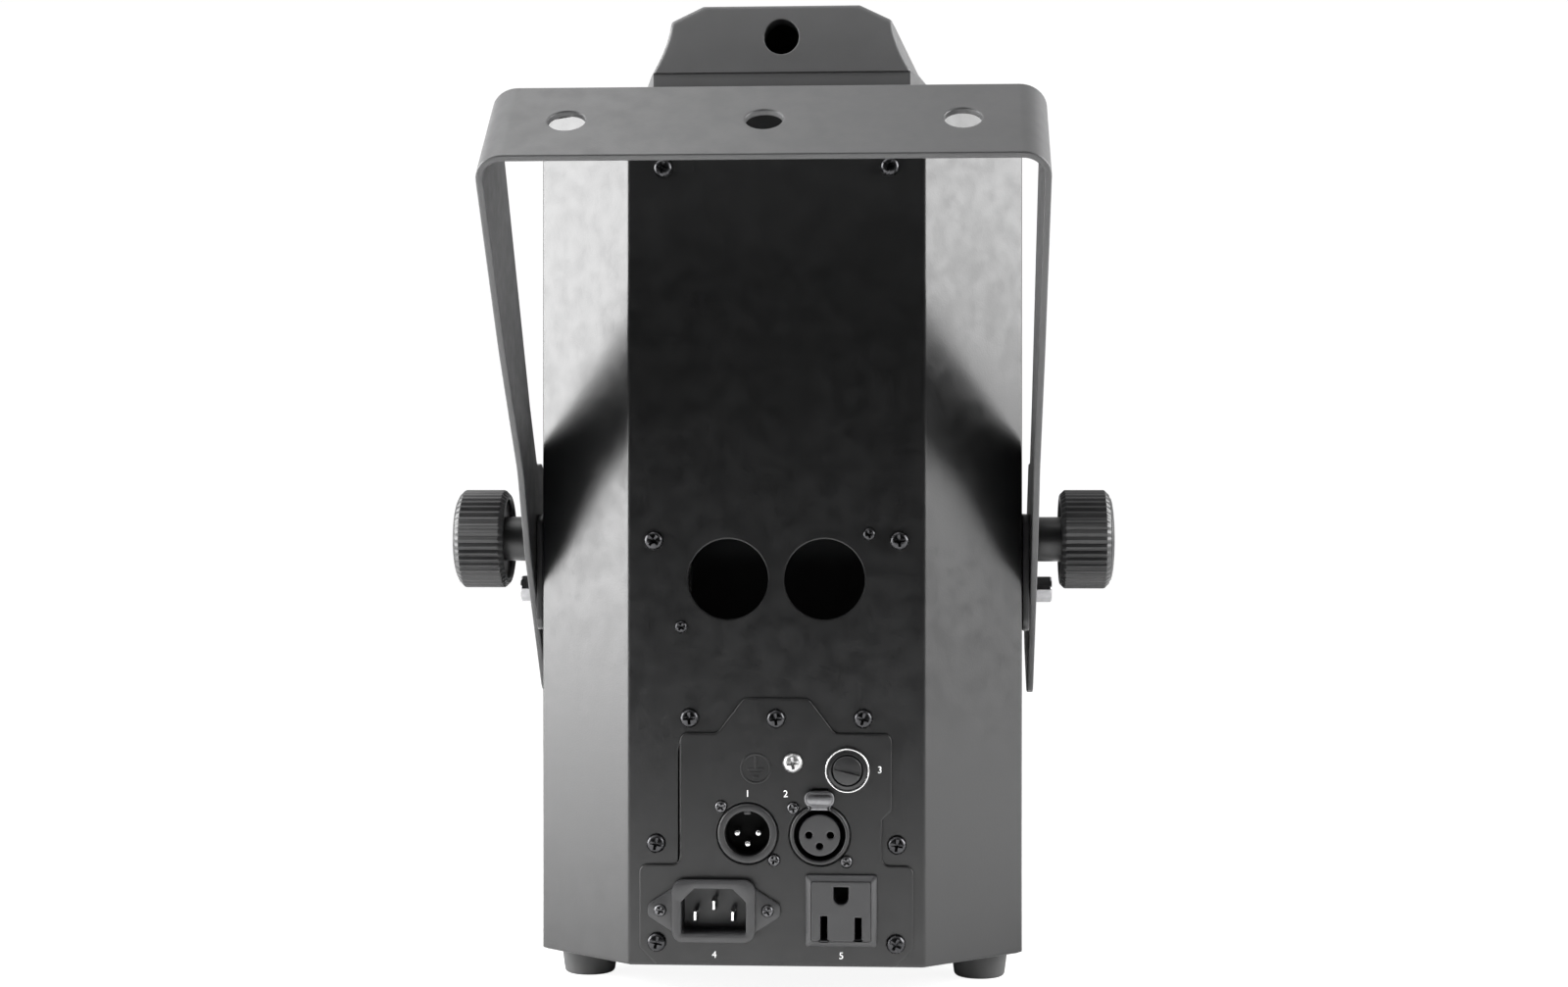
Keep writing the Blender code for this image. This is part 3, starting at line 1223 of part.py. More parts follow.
def build_knob(name, side):
    inner = ARM_OUTER + GAP
    face = inner + HUB_LENGTH
    end = face + KNOB_W
    rim = KNOB_R - KNOB_CHAMFER * 0.8
    rings = [knob_ring(side * x, r, d) for x, r, d in
             ((face, KNOB_R - FLUTE_DEPTH, 0), (end - KNOB_CHAMFER, KNOB_R, FLUTE_DEPTH), (end, rim, 0))]
    bm = bmesh.new()
    add_rings(bm, rings)
    bmesh.ops.translate(bm, verts=bm.verts, vec=(0, 0, PIVOT_Z))
    knob = make(name, bm, "knob_plastic", origin=(side * face, 0, PIVOT_Z))
    recess = bmesh.new()
    add_mesh(recess, turned([(KNOB_R - KNOB_RIM, KNOB_RECESS), (KNOB_R - KNOB_RIM, -OVER),
                             (HUB_R * 0.8, -OVER), (HUB_R * 0.8, KNOB_RECESS)], 20),
             (side * face, 0, PIVOT_Z), "X" if side > 0 else "-X")
    cut(knob, recess)
    core = bmesh.new()
    cap_r = rim - KNOB_CAP_SET
    add_mesh(core, turned([(0, KNOB_W + KNOB_DOME), (cap_r * 0.55, KNOB_W + KNOB_DOME * 0.85),
                           (cap_r, KNOB_W + KNOB_DOME * 0.25), (cap_r, KNOB_W - KNOB_CAP_DEPTH),
                           (HUB_R, KNOB_W - KNOB_WEB), (HUB_R, -HUB_LENGTH), (STUD_R, -HUB_LENGTH),
                           (STUD_R, -HUB_LENGTH - STUD_LENGTH), (0, -HUB_LENGTH - STUD_LENGTH)], 20),
             (side * face, 0, PIVOT_Z), "X" if side > 0 else "-X")
    join(knob, core)


def build_stops(hand, side):
    z = PIVOT_Z - PIN_DROP
    head = ARM_OUTER + GAP
    facing = "X" if side > 0 else "-X"
    middle = (SIDE_PLATE_FRONT - SIDE_PLATE_BACK) / 2, PIVOT_Z + (SIDE_PLATE_RISE - SIDE_PLATE_DROP) / 2
    bm = bmesh.new()
    add_prism(bm, "X", rectangle(middle, (SIDE_PLATE_FRONT + SIDE_PLATE_BACK) / 2,
                                 (SIDE_PLATE_RISE + SIDE_PLATE_DROP) / 2, SIDE_PLATE_ROUND),
              (side * (BODY_HALF + GAP), side * SIDE_FACE))
    plate = make("side_plate_" + hand, bm, "socket_plastic")
    holes = bmesh.new()
    for place, radius in clamp_holes():
        add_rod(holes, "X", place, radius + GAP, (side * BODY_HALF, side * (SIDE_FACE + SHEET)), 12)
    cut(plate, holes)
    corner = PIN_HEAD_ACROSS / math.sqrt(3)
    bm = bmesh.new()
    add_mesh(bm, turned([(0, PIN_HEAD_H), (corner, PIN_HEAD_H), (corner, 0), (0, 0)], 6),
             (side * head, PIN_Y, z), facing)
    pin = make("stop_pin_" + hand, bm, "plated_steel")
    shank = bmesh.new()
    add_rod(shank, "X", (PIN_Y, z), PIN_R, (side * (BODY_HALF - PIN_DEPTH), side * (head + PIN_HEAD_H / 2)), 12)
    join(pin, shank)


# Light engine

def build_engine():
    back = COLUMN_Y + GAP
    low = BASE_TOP + GAP
    lower = BASE_TOP + LOWER_SHELF
    upper = BASE_TOP + UPPER_SHELF
    s = SHEET * 1.25
    front, web = ENGINE_FRONT, back + s
    outline = [(back, low), (front, low), (front, low + s), (web, low + s), (web, lower), (front, lower),
               (front, lower + s), (web, lower + s), (web, upper), (front, upper), (front, upper + s),
               (back, upper + s)]
    bm = bmesh.new()
    add_prism(bm, "X", outline, (-ENGINE_HALF, ENGINE_HALF))
    frame = make("engine_frame", bm, "plated_steel")
    holes = bmesh.new()
    add_box(holes, (-LED_WINDOW_HALF, LED_WINDOW_HALF), (BEAM_Y - LED_WINDOW_HALF, BEAM_Y + LED_WINDOW_HALF),
            (lower - OVER, lower + OVER))
    add_box(holes, (-FAN_HALF, FAN_HALF), (BEAM_Y - FAN_HALF, BEAM_Y + FAN_HALF), (low - OVER, low + OVER))
    add_rod(holes, "Z", (0, BEAM_Y), APERTURE_R, (upper - OVER, upper + OVER), 24)
    for side in (-1, 1):
        add_rod(holes, "Z", (side * WHEEL_REACH, BEAM_Y), WHEEL_HUB_R + RUN, (upper - OVER, upper + OVER), 12)
    cut(frame, holes)
    build_heatsink(lower)
    build_condenser(lower + s + GAP)
    build_wheel("gobo", 1, upper, s, GOBO_DROP)
    build_wheel("colour", -1, upper, s, COLOUR_DROP)


def build_heatsink(shelf):
    top = shelf - GAP
    base = top - SINK_BASE_T
    tips = base - FIN_H
    pitch = (2 * SINK_HALF - FIN_T) / (FINS - 1)
    outline = [(-SINK_HALF, top), (-SINK_HALF, tips)]
    for i in range(FINS):
        x = -SINK_HALF + i * pitch
        if i:
            outline += [(x, base), (x, tips)]
        outline += [(x + FIN_T, tips)]
        if i < FINS - 1:
            outline += [(x + FIN_T, base)]
    outline += [(SINK_HALF, top)]
    bm = bmesh.new()
    add_prism(bm, "Y", outline, (BEAM_Y - SINK_HALF, BEAM_Y + SINK_HALF))
    make("heatsink", bm, "aluminium")
    led = bmesh.new()
    seat = top + GAP
    add_box(led, (-LED_HALF, LED_HALF), (BEAM_Y - LED_HALF, BEAM_Y + LED_HALF), (seat, seat + BOARD_T))
    led = make("led_module", led, "led")
    dome = bmesh.new()
    add_mesh(dome, turned([(0, LED_DOME_H), (LED_DOME_R * 0.7, LED_DOME_H * 0.71), (LED_DOME_R, 0),
                           (LED_DOME_R, -BOARD_T / 2), (0, -BOARD_T / 2)], 12), (0, BEAM_Y, seat + BOARD_T))
    join(led, dome)
    build_fan(tips - GAP)


def build_fan(top):
    low = top - FAN_T
    bm = bmesh.new()
    add_prism(bm, "Z", rectangle((0, BEAM_Y), FAN_HALF, FAN_HALF, FAN_ROUND), (low, top))
    frame = make("fan_frame", bm, "socket_plastic")
    bore = bmesh.new()
    add_rod(bore, "Z", (0, BEAM_Y), FAN_BORE_R, (low - OVER, top + OVER), 16)
    cut(frame, bore)
    spider = bmesh.new()
    add_rod(spider, "Z", (0, BEAM_Y), FAN_CUP_R, (low, low + FAN_SPIDER_T), 12)
    join(frame, spider)
    for turn in (0, 1):
        arm = bmesh.new()
        size = (FAN_BORE_R + FAN_T / 16, FAN_SPIDER_T)
        x, y = (size[turn], size[1 - turn])
        add_box(arm, (-x, x), (BEAM_Y - y, BEAM_Y + y), (low, low + FAN_SPIDER_T * (0.94 + 0.06 * turn)))
        join(frame, arm)
    axle = bmesh.new()
    add_rod(axle, "Z", (0, BEAM_Y), SHAFT_R, (low + FAN_SPIDER_T / 2, top - FAN_SPIDER_T * 2), 8)
    join(frame, axle)
    hub_low = low + FAN_SPIDER_T + GAP
    bm = bmesh.new()
    add_mesh(bm, turned([(FAN_HUB_R, FAN_T * 0.8), (FAN_HUB_R, 0), (SHAFT_R + GAP, 0),
                         (SHAFT_R + GAP, FAN_T * 0.8)], 14), (0, BEAM_Y, hub_low))
    rotor = make("fan_rotor", bm, "socket_plastic", origin=(0, BEAM_Y, hub_low))
    for i in range(FAN_BLADES):
        angle = 2 * math.pi * i / FAN_BLADES
        blade = bmesh.new()
        thin = FAN_BLADE_T / 2
        add_box(blade, (FAN_HUB_R - 2 * thin, FAN_BLADE_R), (-thin, thin), (-BLADE_DEEP / 2, BLADE_DEEP / 2))
        place = Matrix.Translation((0, BEAM_Y, hub_low + FAN_T * 0.41))
        pitch = Matrix.Rotation(BLADE_PITCH, 4, "X")
        blade.transform(place @ Matrix.Rotation(angle, 4, "Z") @ pitch)
        join(rotor, blade)


def build_condenser(low):
    inner = CONDENSER_R + GAP
    outer = inner + CONDENSER_WALL
    ledge = CONDENSER_R - CONDENSER_LEDGE
    bm = bmesh.new()
    add_mesh(bm, turned([(outer, CONDENSER_H), (outer, 0), (ledge, 0), (ledge, CONDENSER_SEAT),
                         (inner, CONDENSER_SEAT), (inner, CONDENSER_H)], 16), (0, BEAM_Y, low))
    make("condenser_holder", bm, "aluminium")
    seat = low + CONDENSER_SEAT + GAP
    bm = bmesh.new()
    add_mesh(bm, turned(lens_profile(CONDENSER_R, CONDENSER_LENS_T, CONDENSER_EDGE, 0), 16), (0, BEAM_Y, seat))
    make("condenser_lens", bm, "glass")


def lens_profile(radius, thickness, edge, low_bulge, steps=3):
    # a lens from its top down: a crown above the edge, and one below it if low_bulge is set
    crown = thickness - edge - low_bulge
    arc = [k / steps for k in range(steps + 1)]
    top = [(radius * s, thickness - crown * s * s) for s in arc]
    if low_bulge == 0:
        return top + [(radius, 0), (0, 0)]
    return top + [(radius * s, low_bulge * s * s) for s in reversed(arc)]


def build_wheel(kind, side, shelf, plate, drop):
    x = side * WHEEL_REACH
    low = shelf - drop - WHEEL_T
    motor_z = shelf + plate + GAP
    bm = bmesh.new()
    add_rod(bm, "Z", (x, BEAM_Y), WHEEL_R, (low, low + WHEEL_T), 24)
    wheel = make(kind + "_wheel", bm, "aluminium" if side > 0 else "glass", origin=(x, BEAM_Y, low))
    hub = bmesh.new()
    add_mesh(hub, turned([(0, motor_z + SHAFT_GRIP - low), (SHAFT_R, motor_z + SHAFT_GRIP - low),
                          (SHAFT_R, motor_z - GAP - low), (WHEEL_HUB_R, motor_z - GAP - low),
                          (WHEEL_HUB_R, WHEEL_T / 2), (0, WHEEL_T / 2)], 10), (x, BEAM_Y, low))
    join(wheel, hub)
    holes = bmesh.new()
    start = math.pi if side > 0 else 0.0
    for i in range(WHEEL_HOLES):
        angle = start + 2 * math.pi * i / WHEEL_HOLES
        place = (x + WHEEL_REACH * math.cos(angle), BEAM_Y + WHEEL_REACH * math.sin(angle))
        add_rod(holes, "Z", place, WHEEL_HOLE_R, (low - WHEEL_T, low + 2 * WHEEL_T), 8)
    cut(wheel, holes)
    bm = bmesh.new()
    bore = SHAFT_R + GAP
    add_mesh(bm, turned([(0, WHEEL_MOTOR_H), (WHEEL_MOTOR_R, WHEEL_MOTOR_H), (WHEEL_MOTOR_R, 0), (bore, 0),
                         (bore, SHAFT_GRIP + GAP), (0, SHAFT_GRIP + GAP)], 12), (x, BEAM_Y, motor_z))
    make(kind + "_motor", bm, "motor")


def build_objective():
    top = DECK_TOP + COLLAR_RISE
    seat = DECK_TOP + GAP
    low = DECK_Z - COLLAR_DROP
    bm = bmesh.new()
    add_mesh(bm, turned([(COLLAR_R, top), (COLLAR_R, seat + COLLAR_FLANGE_T),
                         (COLLAR_FLANGE_R, seat + COLLAR_FLANGE_T), (COLLAR_FLANGE_R, seat), (COLLAR_R, seat),
                         (COLLAR_R, low), (COLLAR_BORE_R, low), (COLLAR_BORE_R, top)], 20), (0, BEAM_Y, 0))
    collar = make("lens_collar", bm, "black_paint")
    thumb_z = top - THUMB_DROP
    slot = bmesh.new()
    half = THUMB_SHANK_R + RUN
    add_box(slot, (-half, half), (BEAM_Y + COLLAR_BORE_R - OVER, BEAM_Y + COLLAR_R + OVER),
            (thumb_z - half - FOCUS_RANGE, top + OVER))
    cut(collar, slot)
    radius = COLLAR_BORE_R - RUN
    inner = radius - BARREL_WALL
    barrel_top = top + BARREL_PROUD
    barrel_low = barrel_top - BARREL_H
    ledge = barrel_top - LENS_SEAT - LENS_T
    throat = inner - BARREL_WALL
    bm = bmesh.new()
    add_mesh(bm, turned([(radius, barrel_top), (radius, barrel_low), (throat, barrel_low),
                         (throat, ledge), (inner, ledge), (inner, barrel_top)], 20), (0, BEAM_Y, 0))
    barrel = make("focus_barrel", bm, "black_paint")
    hole = bmesh.new()
    wall = (BEAM_Y + radius - 2 * BARREL_WALL, BEAM_Y + radius + BARREL_WALL)
    add_rod(hole, "Y", (0, thumb_z), THUMB_SHANK_R + GAP, wall, 8)
    cut(barrel, hole)
    bm = bmesh.new()
    add_mesh(bm, turned(lens_profile(inner - GAP, LENS_T, LENS_EDGE, LENS_UNDER), 20), (0, BEAM_Y, ledge + GAP))
    make("objective_lens", bm, "glass")
    bm = bmesh.new()
    out = BEAM_Y + COLLAR_R + GAP
    tip = BEAM_Y + radius - BARREL_WALL + GAP
    add_mesh(bm, turned([(0, out + THUMB_LENGTH), (THUMB_R, out + THUMB_LENGTH), (THUMB_R, out),
                         (THUMB_SHANK_R, out), (THUMB_SHANK_R, tip), (0, tip)], 10), (0, 0, thumb_z), "Y")
    make("focus_screw", bm, "plated_steel", origin=(0, out, thumb_z))


# Mirror drive

def build_mirror():
    arm_x = MIRROR_HALF + BRACKET_SPARE
    outer_x = arm_x + BRACKET_T
    top = MIRROR_DROP - 2 * GAP
    under = top - BRACKET_T
    low = -PIVOT_BOSS_R - BRACKET_T / 2
    outline = rounded([(-outer_x, low, 0), (-arm_x, low, 0), (-arm_x, under, 0), (arm_x, under, 0),
                       (arm_x, low, 0), (outer_x, low, 0), (outer_x, top, MOTOR_ROUND),
                       (-outer_x, top, MOTOR_ROUND)])
    bm = bmesh.new()
    add_prism(bm, "Y", outline, (-BRACKET_HALF_Y, BRACKET_HALF_Y))
    bracket = make("pan_bracket", bm, "aluminium", pan_axis, (0, 0, 0))
    shaft = bmesh.new()
    stem = MIRROR_DROP + HEAD_T
    add_mesh(shaft, turned([(0, stem + SHAFT_GRIP), (SHAFT_R, stem + SHAFT_GRIP), (SHAFT_R, stem - GAP),
                            (PAN_HUB_R, stem - GAP), (PAN_HUB_R, top - BRACKET_T / 2),
                            (0, top - BRACKET_T / 2)], 16), (0, 0, 0))
    join(bracket, shaft, pan_axis)
    holes = bmesh.new()
    for side in (-1, 1):
        across = (side * (arm_x - BRACKET_T), side * (outer_x + BRACKET_T))
        add_rod(holes, "X", (0, 0), TILT_SHAFT_R + RUN, across, 12)
    cut(bracket, holes, pan_axis)

    bm = bmesh.new()
    start = outer_x + GAP
    bore = TILT_SHAFT_R + GAP
    grip = SHAFT_GRIP - GAP
    add_mesh(bm, turned([(0, TILT_MOTOR_L), (TILT_MOTOR_R, TILT_MOTOR_L), (TILT_MOTOR_R, 0), (bore, 0),
                         (bore, grip + GAP), (0, grip + GAP)], 16), (start, 0, 0), "X")
    make("tilt_motor", bm, "motor", pan_axis, (start, 0, 0))

    bm = bmesh.new()
    plate = -CARRIER_TUBE_R - CARRIER_T
    wide, deep = MIRROR_HALF - CARRIER_SET, MIRROR_REACH - CARRIER_SET
    add_box(bm, (-wide, wide), (-deep, deep), (plate, plate + CARRIER_T + GAP))
    carrier = make("mirror_carrier", bm, "aluminium", tilt_axis, (0, 0, 0))
    shaft = bmesh.new()
    add_rod(shaft, "X", (0, 0), CARRIER_TUBE_R, (-MIRROR_HALF, MIRROR_HALF), 14)
    join(carrier, shaft, tilt_axis)
    shaft = bmesh.new()
    add_rod(shaft, "X", (0, 0), TILT_SHAFT_R, (-outer_x - BRACKET_T / 2, start + grip), 12)
    join(carrier, shaft, tilt_axis)
    bm = bmesh.new()
    glass = plate - GAP
    add_box(bm, (-MIRROR_HALF, MIRROR_HALF), (-MIRROR_REACH, MIRROR_REACH), (glass - MIRROR_T, glass))
    make("mirror_glass", bm, "mirror", tilt_axis, (0, 0, 0))

    bm = bmesh.new()
    z = HEAD_TOP + GAP
    outline = rectangle((0, BEAM_Y), PAN_MOTOR_HALF, PAN_MOTOR_HALF, MOTOR_ROUND)
    add_prism(bm, "Z", outline, (z, z + PAN_MOTOR_H))
    motor = make("pan_motor", bm, "motor")
    bore = bmesh.new()
    add_rod(bore, "Z", (0, BEAM_Y), SHAFT_R + GAP, (z - OVER, z + SHAFT_GRIP), 12)
    cut(motor, bore)


# Boards and controls

def build_boards():
    front = COLUMN_Y - SHEET - GAP
    face = front - BOARD_STAND
    high = COVER_TOP - POWER_BOARD_DROP
    low = high - POWER_BOARD_H
    half = POWER_BOARD_HALF
    bm = bmesh.new()
    add_box(bm, (-half, half), (face - BOARD_T, face), (low, high))
    board = make("power_board", bm, "board")
    posts = bmesh.new()
    for x in (POST_INSET - half, half - POST_INSET):
        for z in (low + POST_INSET, high - POST_INSET):
            add_rod(posts, "Y", (x, z), POST_R, (face - BOARD_T / 2, front), 6)
    back = face - BOARD_T / 2
    middle = (low + high) / 2
    for x, z, height in (TRANSFORMER, COOLER):
        add_box(posts, x, (back - height, back), (middle + z[0], middle + z[1]))
    for x, z in CAPACITORS:
        add_rod(posts, "Y", (x, middle + z), CAPACITOR_R, (back - CAPACITOR_H, back), 10)
    join(board, posts)

    face = FRONT_Y - SHELL_WALL - CONTROL_DEPTH
    bm = bmesh.new()
    z = (PANEL_Z - CONTROL_BOARD_HIGH, PANEL_Z + CONTROL_BOARD_HIGH)
    add_box(bm, (-CONTROL_BOARD_HALF, CONTROL_BOARD_HALF), (face - BOARD_T, face), z)
    board = make("control_board", bm, "board")
    posts = bmesh.new()
    for x in (POST_INSET - CONTROL_BOARD_HALF, CONTROL_BOARD_HALF - POST_INSET):
        for height in (z[0] + POST_INSET, z[1] - POST_INSET):
            add_rod(posts, "Y", (x, height), POST_R, (face - BOARD_T / 2, FRONT_Y - SHELL_WALL - GAP), 6)
    join(board, posts)
    bm = bmesh.new()
    add_prism(bm, "Y", rectangle((DISPLAY_X, PANEL_Z), DISPLAY_HALF, DISPLAY_HIGH, DISPLAY_ROUND),
              (face + GAP, FRONT_Y + GAP))
    make("display", bm, "display")
    lip = -SHELL_WALL - GAP
    stem = face + BUTTON_TRAVEL + 2 * GAP - FRONT_Y
    profile = [(0, BUTTON_PROUD), (BUTTON_R - BUTTON_SOFT, BUTTON_PROUD),
               (BUTTON_R, BUTTON_PROUD - BUTTON_SOFT),
               (BUTTON_R, lip), (BUTTON_R + BUTTON_LIP, lip), (BUTTON_R + BUTTON_LIP, lip - BUTTON_LIP),
               (BUTTON_STEM_R, lip - BUTTON_LIP), (BUTTON_STEM_R, stem), (0, stem)]
    for i, x in enumerate(button_places()):
        bm = bmesh.new()
        add_mesh(bm, turned(profile, 8), (x, FRONT_Y, PANEL_Z), "Y")
        make("button_%d" % (i + 1), bm, "knob_plastic", origin=(x, FRONT_Y, PANEL_Z))


def button_places():
    return [BUTTON_FIRST_X + i * BUTTON_PITCH for i in range(4)]


build_rear_cover()
build_base()
build_frame()
build_front_shell()
build_deck()
build_head()
build_hood()
build_io_plate()
build_signal_connectors()
build_fuse()
build_inlet()
build_outlet()
build_loose_screws()
build_yoke()
build_knob("knob_left", -1)
build_knob("knob_right", 1)
build_stops("left", -1)
build_stops("right", 1)
build_engine()
build_objective()
build_mirror()
build_boards()
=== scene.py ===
# LED scanner light, seen from its rear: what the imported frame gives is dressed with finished
# surfaces and materials. Metres, +Z up, the connector panel faces -Y.

import json
import math

import bmesh
import bpy
import numpy as np
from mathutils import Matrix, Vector
from mathutils.geometry import delaunay_2d_cdt

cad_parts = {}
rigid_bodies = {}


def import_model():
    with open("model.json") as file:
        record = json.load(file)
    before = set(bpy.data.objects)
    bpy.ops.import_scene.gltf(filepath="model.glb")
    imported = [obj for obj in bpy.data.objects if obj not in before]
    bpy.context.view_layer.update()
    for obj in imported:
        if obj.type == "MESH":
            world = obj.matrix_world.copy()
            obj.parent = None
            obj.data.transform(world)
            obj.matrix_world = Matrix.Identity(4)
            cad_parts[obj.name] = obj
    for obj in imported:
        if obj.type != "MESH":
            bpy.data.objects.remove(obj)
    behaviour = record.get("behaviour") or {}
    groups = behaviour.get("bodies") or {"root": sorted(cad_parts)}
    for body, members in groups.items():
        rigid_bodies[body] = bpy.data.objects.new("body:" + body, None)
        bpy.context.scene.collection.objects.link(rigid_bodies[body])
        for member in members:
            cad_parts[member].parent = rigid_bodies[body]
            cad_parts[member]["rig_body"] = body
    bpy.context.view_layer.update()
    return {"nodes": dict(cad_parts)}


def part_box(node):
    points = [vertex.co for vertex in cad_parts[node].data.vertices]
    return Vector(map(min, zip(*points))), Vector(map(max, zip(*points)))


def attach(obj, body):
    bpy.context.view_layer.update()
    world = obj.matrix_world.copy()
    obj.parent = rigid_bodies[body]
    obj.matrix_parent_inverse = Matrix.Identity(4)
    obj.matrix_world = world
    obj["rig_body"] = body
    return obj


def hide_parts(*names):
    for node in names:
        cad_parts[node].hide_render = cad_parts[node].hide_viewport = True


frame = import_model()
print("frame loaded:", len(frame["nodes"]), "nodes")


def nodeBox(name):
    # the lowest and the highest corner of a node
    low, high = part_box(name)
    return np.array(low), np.array(high)


# Materials

def addNode(tree, kind, **values):
    # a shader node of that kind with its settings
    node = tree.nodes.new("ShaderNode" + kind)
    for key, value in values.items():
        setattr(node, key, value)
    return node


def setInputs(node, **values):
    # constants for sockets by their names, with _ for a blank
    for key, value in values.items():
        node.inputs[key.replace("_", " ")].default_value = value


def noiseField(tree, scale, detail=3.0, roughness=0.55, stretch=None):
    # noise on object coordinates, as many cells to the metre as scale says; stretch draws it out
    place = addNode(tree, "TexCoord")
    noise = addNode(tree, "TexNoise")
    setInputs(noise, Scale=scale, Detail=detail, Roughness=roughness)
    if stretch:
        mapping = addNode(tree, "Mapping")
        mapping.inputs["Scale"].default_value = stretch
        tree.links.new(place.outputs["Object"], mapping.inputs["Vector"])
        tree.links.new(mapping.outputs["Vector"], noise.inputs["Vector"])
    else:
        tree.links.new(place.outputs["Object"], noise.inputs["Vector"])
    return noise.outputs["Fac"]


def spread(tree, field, low, high, fromLow=0.35, fromHigh=0.65):
    # a field's middle part carried to a range of numbers
    node = addNode(tree, "MapRange")
    setInputs(node, From_Min=fromLow, From_Max=fromHigh, To_Min=low, To_Max=high)
    tree.links.new(field, node.inputs["Value"])
    return node.outputs["Result"]


def tint(tree, field, dark, light, ends=(0.3, 0.7)):
    # a field carried to a run between two colours
    ramp = addNode(tree, "ValToRGB")
    for element, place, colour in zip(ramp.color_ramp.elements, ends, (dark, light)):
        element.position = place
        element.color = (*colour, 1)
    tree.links.new(field, ramp.inputs["Fac"])
    return ramp.outputs["Color"]


def finish(name, colour, roughness, metallic=0.0, mottle=0.12, mottleScale=60.0, roughSpread=0.04,
           roughScale=140.0, grain=None, brushed=None, **sockets):
    # colour and roughness drift on slow noise; grain is (cells to the metre, depth) for the bump
    found = bpy.data.materials.new(name)
    found.use_nodes = True
    tree = found.node_tree
    shader = tree.nodes["Principled BSDF"]
    shader.inputs["Metallic"].default_value = metallic
    dark = tuple(c * (1 - mottle) for c in colour)
    light = tuple(c * (1 + mottle) for c in colour)
    tree.links.new(tint(tree, noiseField(tree, mottleScale, stretch=brushed), dark, light),
                   shader.inputs["Base Color"])
    rough = spread(tree, noiseField(tree, roughScale, stretch=brushed), roughness - roughSpread,
                   roughness + roughSpread)
    tree.links.new(rough, shader.inputs["Roughness"])
    if grain:
        bump = addNode(tree, "Bump")
        setInputs(bump, Strength=1.0, Distance=grain[1])
        tree.links.new(noiseField(tree, grain[0], detail=2.0, stretch=brushed), bump.inputs["Height"])
        tree.links.new(bump.outputs["Normal"], shader.inputs["Normal"])
    for key, value in sockets.items():
        shader.inputs[key.replace("_", " ")].default_value = value
    found.diffuse_color = (*colour, 1)
    return found


paints = {
    # colour, roughness, mottle, and grain as cells to the metre and depth
    "satinBlack": ((0.0048, 0.0048, 0.0050), 0.33, 0.06, (1500, 0.000024)),
    "yokeBlack": ((0.040, 0.040, 0.041), 0.42, 0.06, (1500, 0.000020)),
    "satinDark": ((0.022, 0.022, 0.023), 0.40, 0.06, (1500, 0.000020)),
    "plateBlack": ((0.0036, 0.0036, 0.0038), 0.36, 0.06, (1500, 0.000016)),
    "hoodGrey": ((0.062, 0.062, 0.063), 0.55, 0.05, (1700, 0.000035)),
    "shellBlack": ((0.022, 0.022, 0.023), 0.52, 0.05, (1300, 0.000040)),
    "knobBlack": ((0.0068, 0.0068, 0.0072), 0.40, 0.05, (2200, 0.000010)),
    "socketBlack": ((0.012, 0.012, 0.0125), 0.36, 0.05, (2500, 0.000008)),
    "facePlastic": ((0.021, 0.021, 0.022), 0.38, 0.05, (2500, 0.000008)),
    "printWhite": ((0.80, 0.80, 0.80), 0.60, 0.03, None),
    "rubber": ((0.042, 0.042, 0.042), 0.75, 0.10, (1200, 0.00004)),
}
metals = {
    # colour, roughness, mottle and its cells to the metre
    "blackZinc": ((0.042, 0.042, 0.044), 0.27, 0.20, 700),
    "brightZinc": ((0.80, 0.80, 0.80), 0.22, 0.05, 500),
    "greyZinc": ((0.16, 0.16, 0.165), 0.34, 0.15, 700),
    "smokeZinc": ((0.085, 0.085, 0.088), 0.27, 0.20, 700),
    "boltZinc": ((0.24, 0.24, 0.245), 0.36, 0.10, 500),
    "dullPlate": ((0.42, 0.42, 0.42), 0.36, 0.10, 500),
    "paleZinc": ((0.44, 0.44, 0.44), 0.38, 0.12, 700),
}
others = {
    # each with its own settings of the shader
    # painted shade: a near-black with weak specular, for the insides of the signal connectors
    "paintedShadeBlack": dict(colour=(0.0022,) * 3, roughness=0.70, mottle=0.05, Specular_IOR_Level=0.15),
    "aluminium": dict(colour=(0.62, 0.62, 0.63), roughness=0.40, metallic=1.0, mottle=0.05,
                      brushed=(1.0, 12.0, 12.0), grain=(900, 0.00001)),
    "mirrorGlass": dict(colour=(0.88, 0.89, 0.90), roughness=0.02, metallic=1.0, mottle=0.01,
                        roughSpread=0.005),
    "boardGreen": dict(colour=(0.015, 0.085, 0.040), roughness=0.35, mottle=0.30, mottleScale=300),
    "motorBlack": dict(colour=(0.020, 0.020, 0.021), roughness=0.42, metallic=0.2, mottle=0.08),
    "screenDark": dict(colour=(0.006, 0.007, 0.009), roughness=0.08, mottle=0.05, roughSpread=0.01),
    "litDigit": dict(colour=(0.75, 0.10, 0.06), roughness=0.40, mottle=0.02, Emission_Strength=1.0,
                     Emission_Color=(0.9, 0.12, 0.06, 1)),
    "phosphor": dict(colour=(0.85, 0.72, 0.22), roughness=0.45, mottle=0.06, mottleScale=900),
    "lensGlass": dict(colour=(0.93, 0.96, 0.98), roughness=0.02, mottle=0.01, roughSpread=0.01,
                      Transmission_Weight=1.0, IOR=1.5),
}
look = {name: finish(name, colour, rough, mottle=mottle, grain=grain)
        for name, (colour, rough, mottle, grain) in paints.items()}
look.update({name: finish(name, colour, rough, metallic=1.0, mottle=mottle, mottleScale=scale)
             for name, (colour, rough, mottle, scale) in metals.items()})
look.update({name: finish(name, **values) for name, values in others.items()})
print("materials made")


# Surfaces: each returns points and faces in its own frame, with +z out of the piece it stands on

# beside each rounded edge or bend runs a flat band this wide, so that the wide face keeps its shading
band = 0.0004
# lengths below these are the same place, no length at all, and one point once a mesh is merged
same, nothing, weld = 1e-7, 1e-9, 2e-6
# how far a screw's head is let into what it stands on, and the corner radius of small crisp forms
headSeat, crisp = 0.0002, 0.0002

